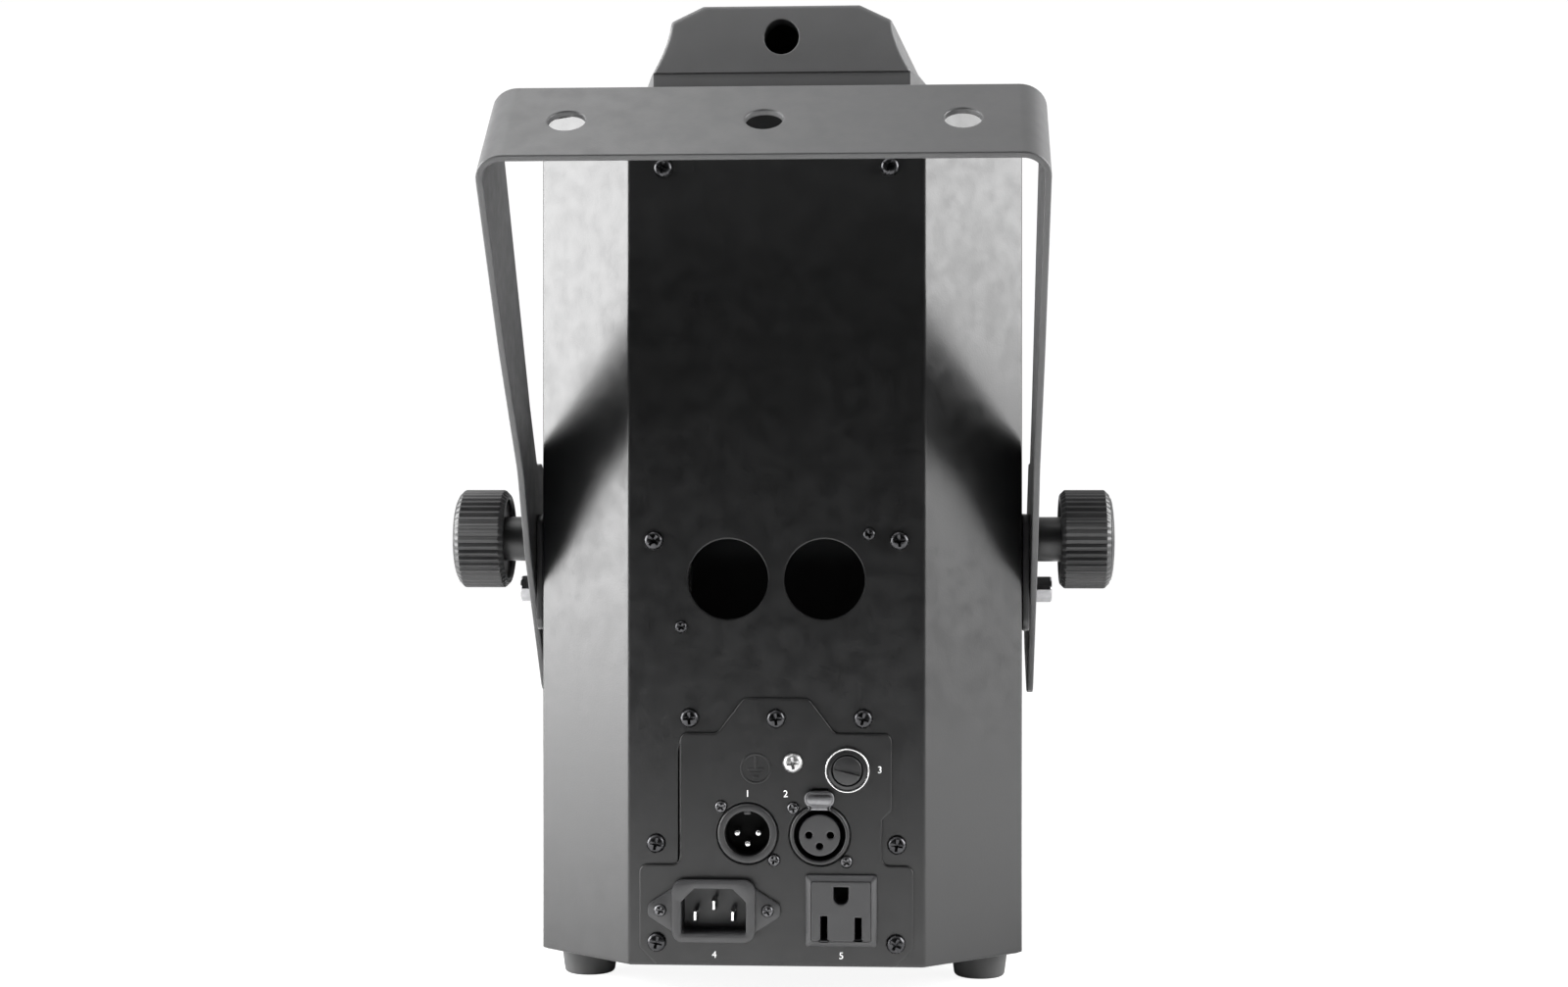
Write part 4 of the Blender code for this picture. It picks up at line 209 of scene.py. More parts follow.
facings = {
    # what a shape's own x, y and z become when it faces that way
    "up": ((1, 0, 0), (0, 1, 0), (0, 0, 1)),
    "rear": ((1, 0, 0), (0, 0, 1), (0, -1, 0)), "front": ((-1, 0, 0), (0, 0, 1), (0, 1, 0)),
    "right": ((0, 1, 0), (0, 0, 1), (1, 0, 0)), "left": ((0, -1, 0), (0, 0, 1), (-1, 0, 0)),
}


def placed(part, at, facing="rear"):
    # a part turned to face that way, with its origin moved to a place
    points, faces = part
    return points @ np.array(facings[facing], float) + np.array(at, float), faces


def gridFaces(rows, columns, closeRows=False, closeColumns=False):
    # the quads between neighbouring rows and columns of a grid, wrapping where a direction is closed
    i = np.arange(rows if closeRows else rows - 1)[:, None]
    j = np.arange(columns if closeColumns else columns - 1)[None, :]
    down, across = (i + 1) % rows, (j + 1) % columns
    quads = np.stack([i * columns + j, i * columns + across, down * columns + across, down * columns + j], -1)
    return quads.reshape(-1, 4).tolist()


def around(angle):
    # the points of the unit circle at these angles
    return np.stack([np.cos(angle), np.sin(angle)], -1)


def roundedLine(corners, steps=4, closed=True):
    # corners are (a, b, radius): each is replaced by the arc of that radius that touches both its sides
    line, count = [], len(corners)
    for i, (a, b, radius) in enumerate(corners):
        here = np.array((a, b), float)
        if radius == 0 or (not closed and i in (0, count - 1)):
            line.append(here[None])
            continue
        back = np.array(corners[i - 1][:2]) - here
        onward = np.array(corners[(i + 1) % count][:2]) - here
        back, onward = back / np.linalg.norm(back), onward / np.linalg.norm(onward)
        half = math.acos(np.clip(back @ onward, -1, 1)) / 2
        middle = back + onward
        centre = here + middle / np.linalg.norm(middle) * radius / math.sin(half)
        start = here + back * radius / math.tan(half) - centre
        end = here + onward * radius / math.tan(half) - centre
        first = math.atan2(start[1], start[0])
        sweep = (math.atan2(end[1], end[0]) - first + math.pi) % (2 * math.pi) - math.pi
        angle = first + sweep * np.linspace(0, 1, steps + 1)
        line.append(centre + radius * around(angle))
    return np.concatenate(line)


def roundedBox(halfA, halfB, radius, steps=4, centre=(0, 0)):
    # a rectangle of these half sides with rounded corners
    a, b = centre
    return roundedLine([(a - halfA, b - halfB, radius), (a + halfA, b - halfB, radius),
                        (a + halfA, b + halfB, radius), (a - halfA, b + halfB, radius)], steps)


def circle(radius, count=32, centre=(0, 0)):
    return np.array(centre) + radius * around(np.linspace(0, 2 * np.pi, count, endpoint=False))


def turned(profile, count, ripple=0.0, closed=False):
    # P(t, a) = ((r(t) + ripple(t, a)) cos a, the same with sin a, h(t)); a closed profile makes a ring
    profile = np.asarray(profile, float)
    angle = np.linspace(0, 2 * np.pi, count, endpoint=False)[None, :]
    radius = profile[:, :1] + ripple
    height = np.broadcast_to(profile[:, 1:], (len(profile), count))
    points = np.stack([radius * np.cos(angle), radius * np.sin(angle), height], -1)
    return points.reshape(-1, 3), gridFaces(len(profile), count, closed, True)


def reachOf(outline, angles):
    # how far a closed outline lies from the middle along each angle: the nearest crossing of the ray
    start = np.asarray(outline, float)
    edge = np.roll(start, -1, 0) - start
    ray = around(angles)
    with np.errstate(divide="ignore", invalid="ignore"):
        cross = ray[:, None, 0] * edge[:, 1] - ray[:, None, 1] * edge[:, 0]
        reach = (start[:, 0] * edge[:, 1] - start[:, 1] * edge[:, 0]) / cross
        along = (start[:, 0] * ray[:, None, 1] - start[:, 1] * ray[:, None, 0]) / cross
    good = (along > -same) & (along < 1 + same) & (reach > 0)
    return np.where(good, reach, np.inf).min(1)


def stacked(levels, fill=24):
    # rings one above another: P(k, a) = reach of outline k along a, at height k; None is the middle
    angles = [np.arctan2(o[:, 1], o[:, 0]) for o, _ in levels if o is not None]
    angles = np.concatenate(angles + [np.linspace(-np.pi, np.pi, fill, endpoint=False)])
    angles = np.unique(np.round(angles % (2 * np.pi), 5))
    rays, rows = around(angles), []
    for outline, height in levels:
        reach = np.zeros(len(angles)) if outline is None else reachOf(outline, angles)
        rows.append(np.column_stack([rays * reach[:, None], np.full(len(angles), height)]))
    return np.concatenate(rows), gridFaces(len(levels), len(angles), closeColumns=True)


def orient(loop, left=True):
    # runs a loop so that the material lies on its left
    area = np.sum(loop[:, 0] * np.roll(loop[:, 1], -1) - loop[:, 1] * np.roll(loop[:, 0], -1))
    return loop if (area > 0) == left else loop[::-1]


def inset(loop, distance):
    # moves each point of a loop to its left along the mean of its two sides' normals, by the distance
    # over the cosine between mean and normal, and by twice the distance at most
    side = np.roll(loop, -1, 0) - loop
    side /= np.linalg.norm(side, axis=1)[:, None]
    normal = np.stack([-side[:, 1], side[:, 0]], -1)
    mean = normal + np.roll(normal, 1, 0)
    mean /= np.maximum(np.linalg.norm(mean, axis=1), nothing)[:, None]
    reach = np.maximum((mean * normal).sum(1), 0.5)
    return loop + mean * (distance / reach)[:, None]


def insideOf(points, loops):
    # true where a point lies inside an odd number of loops
    inside = np.zeros(len(points), bool)
    for loop in loops:
        after = np.roll(loop, -1, 0)
        across, up = (after - loop).T
        spans = (loop[:, 1] > points[:, 1:]) != (after[:, 1] > points[:, 1:])
        with np.errstate(divide="ignore", invalid="ignore"):
            at = loop[:, 0] + (points[:, 1:] - loop[:, 1]) * across / up
        inside ^= (spans & (points[:, :1] < at)).sum(1) % 2 == 1
    return inside


def flatFill(loops, links=()):
    # triangles between closed loops of one plane; links are more edges to keep, as pairs of points
    edges, start = [], 0
    for loop in loops:
        edges += [(start + i, start + (i + 1) % len(loop)) for i in range(len(loop))]
        start += len(loop)
    flat = [Vector(p) for p in np.concatenate(loops)]
    points, _, triangles, *_ = delaunay_2d_cdt(flat, edges + list(links), [], 0, same)
    points = np.array([tuple(p) for p in points])
    triangles = np.array([t[:3] for t in triangles])
    return points, triangles[insideOf(points[triangles].mean(1), loops)]


def cutSheet(outline, holes, thickness, edge, folds=(), carry=None, edgeSteps=2):
    # a sheet with rounded edges: every loop is a wall whose rows follow a quarter circle of the edge's
    # radius at both faces, and the faces are triangles between the loops. The upper face is at w = 0.
    # carry bends it: (u, v, w) to a place, with points on each fold line u so that bends stay smooth
    loops = [orient(withFolds(np.asarray(outline, float), folds))]
    loops += [orient(np.asarray(hole, float), False) for hole in holes]
    turn = np.linspace(0, np.pi / 2, edgeSteps + 1)
    insets = np.concatenate([[edge + band], edge * (1 - np.sin(turn))])
    depths = np.concatenate([[0], edge * (1 - np.cos(turn))])
    insets = np.concatenate([insets, insets[::-1]])
    depths = np.concatenate([-depths, depths[::-1] - thickness])
    parts = []
    for loop in loops:
        rows = [np.column_stack([inset(loop, distance), np.full(len(loop), depth)])
                for distance, depth in zip(insets, depths)]
        parts.append((np.concatenate(rows), gridFaces(len(rows), len(loop), closeColumns=True)))
    rims = [inset(loop, edge + band) for loop in loops]
    links = []
    for fold in folds:
        ends = np.flatnonzero(np.abs(loops[0][:, 0] - fold) < same)
        ends = ends[np.argsort(rims[0][ends, 1])]
        links += [(int(ends[0]), int(ends[-1]))]
    points, triangles = flatFill(rims, links)
    for height, order in ((0.0, 1), (-thickness, -1)):
        face = np.column_stack([points, np.full(len(points), height)])
        parts.append((face, triangles[:, ::order].tolist()))
    joined = joinParts(parts)
    return joined if carry is None else (carry(joined[0]), joined[1])


def withFolds(loop, folds):
    # adds a point wherever a side of the loop crosses a fold line, unless the side ends there
    points, order = [loop], [np.arange(len(loop), dtype=float)]
    least = 1e-6
    after = np.roll(loop, -1, 0)
    for fold in folds:
        gap = after[:, 0] - loop[:, 0]
        with np.errstate(divide="ignore", invalid="ignore"):
            share = (fold - loop[:, 0]) / gap
        hits = np.flatnonzero((np.abs(gap) > nothing) & (share > least) & (share < 1 - least))
        points.append(loop[hits] + (after - loop)[hits] * share[hits, None])
        order.append(hits + share[hits])
    points, order = np.concatenate(points), np.concatenate(order)
    return points[np.argsort(order)]


def joinParts(parts):
    # several parts as one, each part's faces moved on by the points before it
    points, faces, start = [], [], 0
    for some, others in parts:
        points.append(some)
        faces += [[start + k for k in face] for face in others]
        start += len(some)
    return np.concatenate(points), faces


def alongPath(corners, steps=8):
    # a bent strip's outer line: the lengths of its folds, its whole length, and the rule that carries
    # (u, v, w) to the point at length u, moved v across and w along the outward normal
    line = roundedLine(corners, steps, False)
    run = np.linalg.norm(np.diff(line, axis=0), axis=1)
    flat = np.flatnonzero(run > 6 * band)
    share = np.concatenate([flat[1:] + band / run[flat[1:]], flat[:-1] + 1 - band / run[flat[:-1]]])
    share = np.sort(np.concatenate([np.arange(len(line)), share]))
    line = np.stack([np.interp(share, np.arange(len(line)), line[:, k]) for k in (0, 1)], -1)
    step = np.diff(line, axis=0)
    length = np.concatenate([[0], np.cumsum(np.linalg.norm(step, axis=1))])
    side = step / np.linalg.norm(step, axis=1)[:, None]
    normal = np.stack([side[:, 1], -side[:, 0]], -1)
    normal = np.concatenate([normal[:1], normal[:-1] + normal[1:], normal[-1:]])
    normal /= np.linalg.norm(normal, axis=1)[:, None]

    def carry(points):
        # the line's point at length u, moved by w along the normal there, at height v
        at = [np.interp(points[:, 0], length, line[:, k]) for k in (0, 1)]
        out = [np.interp(points[:, 0], length, normal[:, k]) for k in (0, 1)]
        size = np.hypot(*out)
        lift = points[:, 2] / size
        return at[0] + out[0] * lift, at[1] + out[1] * lift, points[:, 1]

    return length[1:-1], length[-1], carry


def buildPiece(name, parts, material, node=None, body="body", crease=32):
    # joins the parts into one mesh, closes seams and poles, and turns the faces outwards
    points, faces = joinParts(parts)
    mesh = bpy.data.meshes.new(name)
    mesh.from_pydata(points, [], faces)
    work = bmesh.new()
    work.from_mesh(mesh)
    bmesh.ops.remove_doubles(work, verts=work.verts, dist=weld)
    bmesh.ops.dissolve_degenerate(work, edges=work.edges, dist=same)
    bmesh.ops.recalc_face_normals(work, faces=work.faces)
    work.to_mesh(mesh)
    work.free()
    mesh.shade_smooth()
    mesh.set_sharp_from_angle(angle=math.radians(crease))
    mesh.materials.append(look[material])
    piece = bpy.data.objects.new(name, mesh)
    bpy.context.scene.collection.objects.link(piece)
    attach(piece, body)
    if node:
        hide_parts(node)
    return piece


def slottedHead(radius, rise, width, depth, tip, shank, grip, arms=4, power=3.0, fill=2):
    # a domed head with a driver slot on its shank, P(k, j) = (r(k), angle(k, j), h): the slot's sides
    # stay half a width from its arm's middle, so they lie at the angle asin(width / 2r); h is the
    # slot's floor between them and the dome rise * (1 - (r / radius) ** power) ** 0.5 elsewhere
    sector = 2 * np.pi / arms
    inner = width / 2 / math.sin(sector / 2)
    outward = radius * np.sin(np.linspace(math.asin(tip / radius), np.pi / 2, 8))[1:]
    radii = np.concatenate([[0, inner, (inner + tip) / 2, tip, tip], outward])
    edge = np.arcsin(np.minimum(width / 2 / np.maximum(radii, inner), math.sin(sector / 2)))[:, None]
    share = np.concatenate([[0, 0], np.linspace(0, 1, fill + 2), [1]])
    lean = np.minimum(np.arange(len(share)), 1)
    angle = lean * edge + share * (sector - 2 * edge)
    angle = np.concatenate([angle + k * sector for k in range(arms)], 1)
    dome = rise * np.sqrt(np.maximum(1 - (radii / radius) ** power, 0))
    floor = rise - depth * (1 - 0.4 * (np.minimum(radii, tip) / tip) ** 2)
    floors = np.concatenate([[True, True], np.zeros(fill + 2, bool), [True]])
    inSlot = np.tile(floors, arms)[None, :] & (np.arange(len(radii)) < 4)[:, None]
    height = np.where(inSlot | (np.arange(len(radii)) == 0)[:, None], floor[:, None], dome[:, None])
    under = [(radius, -headSeat), (shank, -headSeat), (shank, -grip), (0, -grip)]
    radii = np.append(radii, [r for r, _ in under])[:, None]
    angle = np.concatenate([angle, np.repeat(angle[-1:], len(under), 0)])
    height = np.concatenate([height, np.repeat([[h] for _, h in under], angle.shape[1], 1)])
    points = np.stack([radii * np.cos(angle), radii * np.sin(angle), height], -1)
    return points.reshape(-1, 3), gridFaces(*angle.shape, closeColumns=True)


# Places that the frame gives

knobLow, knobHigh = nodeBox("knob_right")
axisY, axisZ = (knobLow[1] + knobHigh[1]) / 2, (knobLow[2] + knobHigh[2]) / 2
coverLow, coverHigh = nodeBox("rear_cover")
plateLow = nodeBox("io_plate")[0]
hoodLow, hoodHigh = nodeBox("mirror_hood")
rimZ = nodeBox("front_shell")[1][2]
columnY = nodeBox("chassis")[1][1]
# the clearance that the solids leave between a sheet and what lies on it
gap = 0.0003


def onRear(place, face):
    # a place given across and above the cover's bottom edge
    return place[0], face, coverLow[2] + place[1]


# Folded cover

cover = {"panelHalf": 0.0552, "chamferDepth": 0.033, "bend": 0.0022, "sheet": 0.0012, "edge": 0.00035,
         "ventAcross": 0.018, "ventHeight": 0.1438, "ventRadius": 0.015,
         # the step in at the rim of the front shell, how high the slope above it rises, and the corners
         "step": 0.004, "baySlope": 0.022, "bayRound": 0.004, "cornerRound": 0.003,
         # the opening behind the connector plate: half its width, its lower and its upper edge
         "window": (0.0366, 0.006, 0.084), "windowRound": 0.004,
         "nutRadius": 0.007, "nutLength": 0.010, "nutBore": 0.004}


def makeCover():
    # the outline is worked out flat, u along the sheet and v up, and then bent round the body
    half, rear, seam = coverHigh[0], coverLow[1], coverHigh[1]
    panel, bend, flank = cover["panelHalf"], cover["bend"], rear + cover["chamferDepth"]
    folds, length, carry = alongPath([(-half, seam, 0), (-half, flank, bend), (-panel, rear, bend),
                                      (panel, rear, bend), (half, flank, bend), (half, seam, 0)])
    low, top, back = coverLow[2], coverHigh[2], seam - columnY
    slope, soft = rimZ + cover["baySlope"], cover["cornerRound"]
    left = [(0, low, 0), (0, rimZ, 0), (cover["step"], rimZ, soft), (back, slope, cover["bayRound"]),
            (back, top, soft)]
    outline = roundedLine(left[:1] + [(length - u, v, r) for u, v, r in left] + left[:0:-1])
    middle = length / 2
    vents = [circle(cover["ventRadius"], 56, (middle + side * cover["ventAcross"], low + cover["ventHeight"]))
             for side in (-1, 1)]
    across, first, last = cover["window"]
    window = roundedBox(across, (last - first) / 2, cover["windowRound"], 3,
                        (middle, low + (first + last) / 2))
    sheet = cutSheet(outline, vents + [window], cover["sheet"], cover["edge"], folds,
                     lambda points: np.stack(carry(points), -1))
    radius, deep, bore = cover["nutRadius"], cover["nutLength"], cover["nutBore"]
    nut = turned([(radius, 0), (radius, -deep), (bore, -deep), (bore, 0)], 20, closed=True)
    nuts = [placed(nut, (side * (half - cover["sheet"]), axisY, axisZ), facing)
            for side, facing in ((1, "right"), (-1, "left"))]
    return buildPiece("cover_sheet", [sheet] + nuts, "satinBlack", "rear_cover")


# Hanging yoke

yoke = {"tilt": math.radians(38.7), "thick": 0.0025, "bend": 0.010, "length": 0.188, "half": 0.0982,
        "strapHalf": 0.023, "holeRadius": 0.0065, "holeAcross": 0.0684, "drop": 0.066, "edge": 0.0005,
        # how far above the arms' ends the straight edges of the strap start, and how they turn in
        "strapStart": 0.02, "strapEase": 0.05,
        # an arm's edges laid flat: height over the stud, distance across and corner radius
        "farEdge": [(0.055, 0.0134, 0.05), (0.026, 0.0134, 0.006), (0.018, 0.025, 0.006)], "farToe": 0.0195,
        "nearEdge": [(0.0099, 0.021, 0.01), (0.045, 0.0150, 0.03), (0.105, 0.0212, 0.08)], "nearToe": 0.008,
        "studRadius": 0.0044, "pinY": 0.016, "pinDrop": 0.020, "slotHalf": 0.0034,
        "slotBack": math.radians(34.5), "slotForth": math.radians(27.5)}


def arcSlot():
    # the stop pin's path round the stud, as wide as the pin and round at both ends
    rest = math.atan2(-yoke["pinDrop"], yoke["pinY"]) - yoke["tilt"]
    reach, half = math.hypot(yoke["pinY"], yoke["pinDrop"]), yoke["slotHalf"]
    first, last = rest - yoke["slotBack"], rest + yoke["slotForth"]
    arc = around(np.linspace(first, last, 15))
    bow = np.linspace(0, np.pi, 9)[1:-1]
    lastEnd = reach * arc[-1] + half * around(last + bow)
    firstEnd = reach * arc[0] + half * around(first + np.pi + bow)
    return np.concatenate([(reach + half) * arc, lastEnd, (reach - half) * arc[::-1], firstEnd])


def makeYoke():
    # the strip's outline is worked out flat, u along it and v across, and then bent over the corners
    half, top, low, bend = yoke["half"], yoke["length"], -yoke["drop"], yoke["bend"]
    folds, length, carry = alongPath([(half, low, 0), (half, top, bend), (-half, top, bend),
                                      (-half, low, 0)], 12)
    start, wide, far, near = top - bend, yoke["strapHalf"], yoke["farEdge"], yoke["nearEdge"]
    far = [(start + yoke["strapStart"], wide, 0), (start, wide, yoke["strapEase"])] + far
    near = near + [(start, wide, yoke["strapEase"]), (start + yoke["strapStart"], wide, 0)]
    toes = [(low, far[-1][1], yoke["farToe"]), (low, -near[0][1], yoke["nearToe"])]
    arm = roundedLine(far + toes + [(u, -v, r) for u, v, r in near], 8, False)[1:-1]
    right = arm - (low, 0)
    left = np.stack([length - right[::-1, 0], right[::-1, 1]], -1)
    holes = [circle(yoke["holeRadius"], 44, (length / 2 + k * yoke["holeAcross"], 0)) for k in (-1, 0, 1)]
    slot = arcSlot()[:, ::-1] - (low, 0)
    for loop in (circle(yoke["studRadius"], 28, (-low, 0)), slot):
        holes += [loop, np.stack([length - loop[:, 0], loop[:, 1]], -1)]
    turn = np.array([[1, 0, 0], [0, math.cos(yoke["tilt"]), math.sin(yoke["tilt"])],
                     [0, -math.sin(yoke["tilt"]), math.cos(yoke["tilt"])]])

    def bent(points):
        x, z, y = carry(points)
        return np.stack([x, y, z], -1) @ turn + (0, axisY, axisZ)

    sheet = cutSheet(np.concatenate([right, left]), holes, yoke["thick"], yoke["edge"], folds, bent, 3)
    return buildPiece("yoke_strip", [sheet], "yokeBlack", "yoke", "yoke")


# Moulded hood over the mirror drive

hood = {"wall": 0.0022, "skirtHalf": 0.0498, "cornerHalf": 0.0428, "topHalf": 0.0302, "cornerDrop": 0.0060,
        "cornerRound": 0.0022, "flankPower": 1.6, "skirtHigh": 0.016, "spread": 0.165, "roofSpread": 0.099,
        "fall": 0.05, "nose": 0.114, "tip": 0.006, "tipShrink": (0.10, 0.18), "soft": 0.0014,
        # how far the band of the skirt stands back at the rear, and where its edge starts and ends
        "band": 0.001, "bandEdge": (0.0006, 0.0002),
        "eyeRadius": 0.00685, "eyeDrop": 0.012, "eyeSteps": 48, "sleeve": 0.014, "sleeveSkin": 0.00176}


def hoodArch(on, draw=0.0):
    # one section at a distance from the rear, drawn in by draw, from the right skirt over the roof to
    # the left one: the flank's x falls from skirt to corner as a power of the height left
    roof = hoodHigh[2] - hood["fall"] * on - draw
    skirt = hood["skirtHalf"] + hood["spread"] * on - draw
    corner = hood["cornerHalf"] + hood["roofSpread"] * on - draw
    high, low = roof - hood["cornerDrop"], hoodLow[2] + hood["skirtHigh"]
    left = np.linspace(1, 0, 11)
    flank = np.stack([corner + (skirt - corner) * left ** hood["flankPower"], high - (high - low) * left], -1)
    foot = [(skirt, hoodLow[2])] + [(skirt, low - down) for down in hood["bandEdge"]]
    top = hood["topHalf"] + hood["roofSpread"] * on - draw
    half = [(x, z, 0) for x, z in foot + flank[:-1].tolist()]
    half += [(*flank[-1], hood["cornerRound"]), (top, roof, hood["cornerRound"])]
    return roundedLine(half + [(-x, z, r) for x, z, r in half[::-1]], 4, False)


def makeHood():
    # sections from the rear to the nose: a quarter turn of the rear edge, the run, and a quarter turn
    # of the nose, over which the section shrinks; the wall is a modifier
    soft, rear, nose = hood["soft"], hoodLow[1], hood["nose"]
    rows = [(hoodArch(0, soft + band), rear)]
    for turn in np.linspace(0, np.pi / 2, 5):
        arch = hoodArch(0, soft * (1 - math.sin(turn)))
        rows.append((arch, rear + soft * (1 - math.cos(turn))))
    for on in np.linspace(soft, nose, 14)[1:]:
        rows.append((hoodArch(on), rear + on))
    for turn in np.linspace(0, np.pi / 2, 7)[1:]:
        shrink = 1 - np.array(hood["tipShrink"]) * (1 - math.cos(turn))
        arch = (hoodArch(nose) - (0, hoodLow[2])) * shrink + (0, hoodLow[2])
        rows.append((arch, rear + nose + hood["tip"] * math.sin(turn)))
    step = hoodLow[2] + hood["skirtHigh"] - sum(hood["bandEdge"]) / 2
    points = []
    for arch, y in rows:
        sink = np.where(arch[:, 1] < step, np.maximum(rear + hood["band"] - y, 0), 0)
        points.append(np.stack([arch[:, 0], y + sink, arch[:, 1]], -1))
    count = len(points[0])
    shell = np.concatenate(points), gridFaces(len(points), count)
    front = points[-1], [list(range(count))]
    eyeZ = hoodHigh[2] - hood["eyeDrop"]
    eyes = [circle(hood["eyeRadius"] + more, hood["eyeSteps"], (0, eyeZ)) for more in (0, band)]
    # the band's edge runs between the section's second and third points and their mirror images
    links = [(1, count - 2), (2, count - 3)]
    flat, triangles = flatFill([rows[0][0], eyes[1]], links)
    sink = np.where(flat[:, 1] < step, hood["band"], 0)
    back = np.stack([flat[:, 0], rear + sink, flat[:, 1]], -1), triangles.tolist()
    lip = (np.concatenate([np.insert(loop, 1, rear, 1) for loop in eyes]),
           gridFaces(2, hood["eyeSteps"], closeColumns=True))
    piece = buildPiece("hood_shell", [shell, front, back, lip], "hoodGrey", "mirror_hood",
                       crease=38)
    wall = piece.modifiers.new("wall", "SOLIDIFY")
    wall.thickness, wall.offset, wall.use_even_offset = hood["wall"], -1, True
    reach, skin, bore = hood["sleeve"], hood["sleeveSkin"], hood["eyeRadius"]
    ring = turned(roundedLine([(bore, -reach, 0.0005), (bore + skin, -reach, 0.0005),
                               (bore + skin, -0.001, 0), (bore - 0.00002, -0.0008, 0)], 3),
                  hood["eyeSteps"], closed=True)
    buildPiece("hood_sleeve", [placed(ring, (0, rear, eyeZ))], "hoodGrey")


# Clamp knobs

knob = {"radius": 0.0191, "width": 0.0190, "chamfer": 0.0018, "recess": 0.0018, "rim": 0.0035, "hub": 0.00865,
        "hubLength": 0.0089, "stud": 0.004, "studLength": 0.016, "flutes": 44, "flute": 0.0007,
        # the cap's distance from the rim, its rise, and the share of the rise that is a step
        "capInset": 0.0010, "dome": 0.0020, "domeStep": 0.15}


def makeKnob(hand, side):
    # turned, with the fluted band drawn in by flute * (1 - cos(flutes * angle)) / 2
    radius, width, chamfer, recess = knob["radius"], knob["width"], knob["chamfer"], knob["recess"]
    rim, inner, hub, stud = radius - chamfer, radius - knob["rim"], knob["hub"], knob["stud"]
    neck, end, cap = -knob["hubLength"], -knob["hubLength"] - knob["studLength"], rim - knob["capInset"]
    body = roundedLine([
        (0, end, 0), (stud, end, 0.0005), (stud, neck, 0), (hub, neck, 0.0006), (hub, recess, 0),
        (inner, recess, 0), (inner, 0, 0.0006), (rim, 0, 0.0007), (radius, chamfer, 0.0008),
        (radius, width - chamfer, 0.0008), (rim, width, 0.0006), (cap + 0.0003, width, 0),
        (cap, width - 0.0004, 0), (cap, width - 0.0001, 0)], 4, False)
    rise, step = np.linspace(np.pi / 2, 0, 8), knob["domeStep"]
    dome = np.stack([cap * np.sin(rise), width + knob["dome"] * (step + (1 - step) * np.cos(rise))], -1)
    profile = np.concatenate([body, dome])
    angle = np.linspace(0, 2 * np.pi, 8 * knob["flutes"], endpoint=False)
    deep = np.clip((profile[:, 0] - rim) / (radius - rim), 0, 1) * (profile[:, 1] > 0)
    ripple = -knob["flute"] * deep[:, None] * (1 - np.cos(knob["flutes"] * angle)) / 2
    name = "knob_" + hand
    edge = nodeBox(name)[1][0] if side > 0 else -nodeBox(name)[0][0]
    part = placed(turned(profile, len(angle), ripple), (side * (edge - width - knob["dome"]), axisY, axisZ),
                  "right" if side > 0 else "left")
    return buildPiece(name + "_grip", [part], "knobBlack", name, name)


makeCover()
makeYoke()
makeHood()
for hand, side in (("left", -1), ("right", 1)):
    makeKnob(hand, side)
print("cover, yoke, hood and knobs made")


# Fasteners

screws = {
    # each was driven home to an angle of its own: spin times a whole number that its place gives
    "spin": 2.399963, "spinStep": 9000,
    # across and above the cover's bottom edge
    "onCover": [(0.0423, 0.2972), (0.0458, 0.1582), (0.0449, 0.0452), (0.0324, 0.0920)],
    "onPlate": [(0.0445, 0.0087)], "middle": (0.0, 0.0920), "small": [(-0.0355, 0.1260), (0.0346, 0.1606)],
    "earthPlace": (0.0063, 0.0757),
    # head radius, rise, width of the cross, its depth and reach, shank radius and length
    "large": (0.00365, 0.0024, 0.0011, 0.0015, 0.0023, 0.0020, 0.0060),
    "little": (0.0024, 0.0016, 0.0008, 0.0010, 0.0015, 0.0012, 0.0036),
    "earth": (0.0038, 0.0024, 0.0011, 0.0015, 0.0023, 0.0020, 0.0058),
}


def spun(turn):
    # a turn about z, for points written as rows
    return np.array([[math.cos(turn), math.sin(turn), 0], [-math.sin(turn), math.cos(turn), 0], [0, 0, 1]])


def screwParts(places, face, size="large"):
    # a head at each place, turned by spin * (its number + the whole part of spinStep * x)
    points, faces = slottedHead(*screws[size])
    turns = [screws["spin"] * (k + round(place[0] * screws["spinStep"])) for k, place in enumerate(places)]
    return [placed((points @ spun(turn), faces), onRear(place, face))
            for place, turn in zip(places, turns)]


def mirrored(places):
    # each place and its mirror image, left one first
    return [(side * x, z) for x, z in places for side in (-1, 1)]


def makeScrews():
    # the large screws of the cover and the plate as one piece, the two small ones, and the earth screw
    onCover, onPlate = coverLow[1] - gap, plateLow[1] - gap
    large = screwParts(mirrored(screws["onCover"]), onCover)
    large += screwParts(mirrored(screws["onPlate"]) + [screws["middle"]], onPlate)
    buildPiece("cover_screw_heads", large, "blackZinc", crease=30)
    for name, place in zip(("left", "right"), screws["small"]):
        buildPiece("board_screw_head_" + name, screwParts([place], onCover, "little"), "blackZinc",
                   "board_screw_" + name, crease=30)
    buildPiece("earth_screw_head", screwParts([screws["earthPlace"]], onPlate, "earth"), "paleZinc",
               "ground_screw", crease=30)


# Channels and bar behind the cover that the screws bite into

rail = {"sheet": 0.0012, "bend": 0.002, "edge": 0.0002,
        "barThick": 0.0035, "barRound": 0.001, "barEdge": 0.0004}


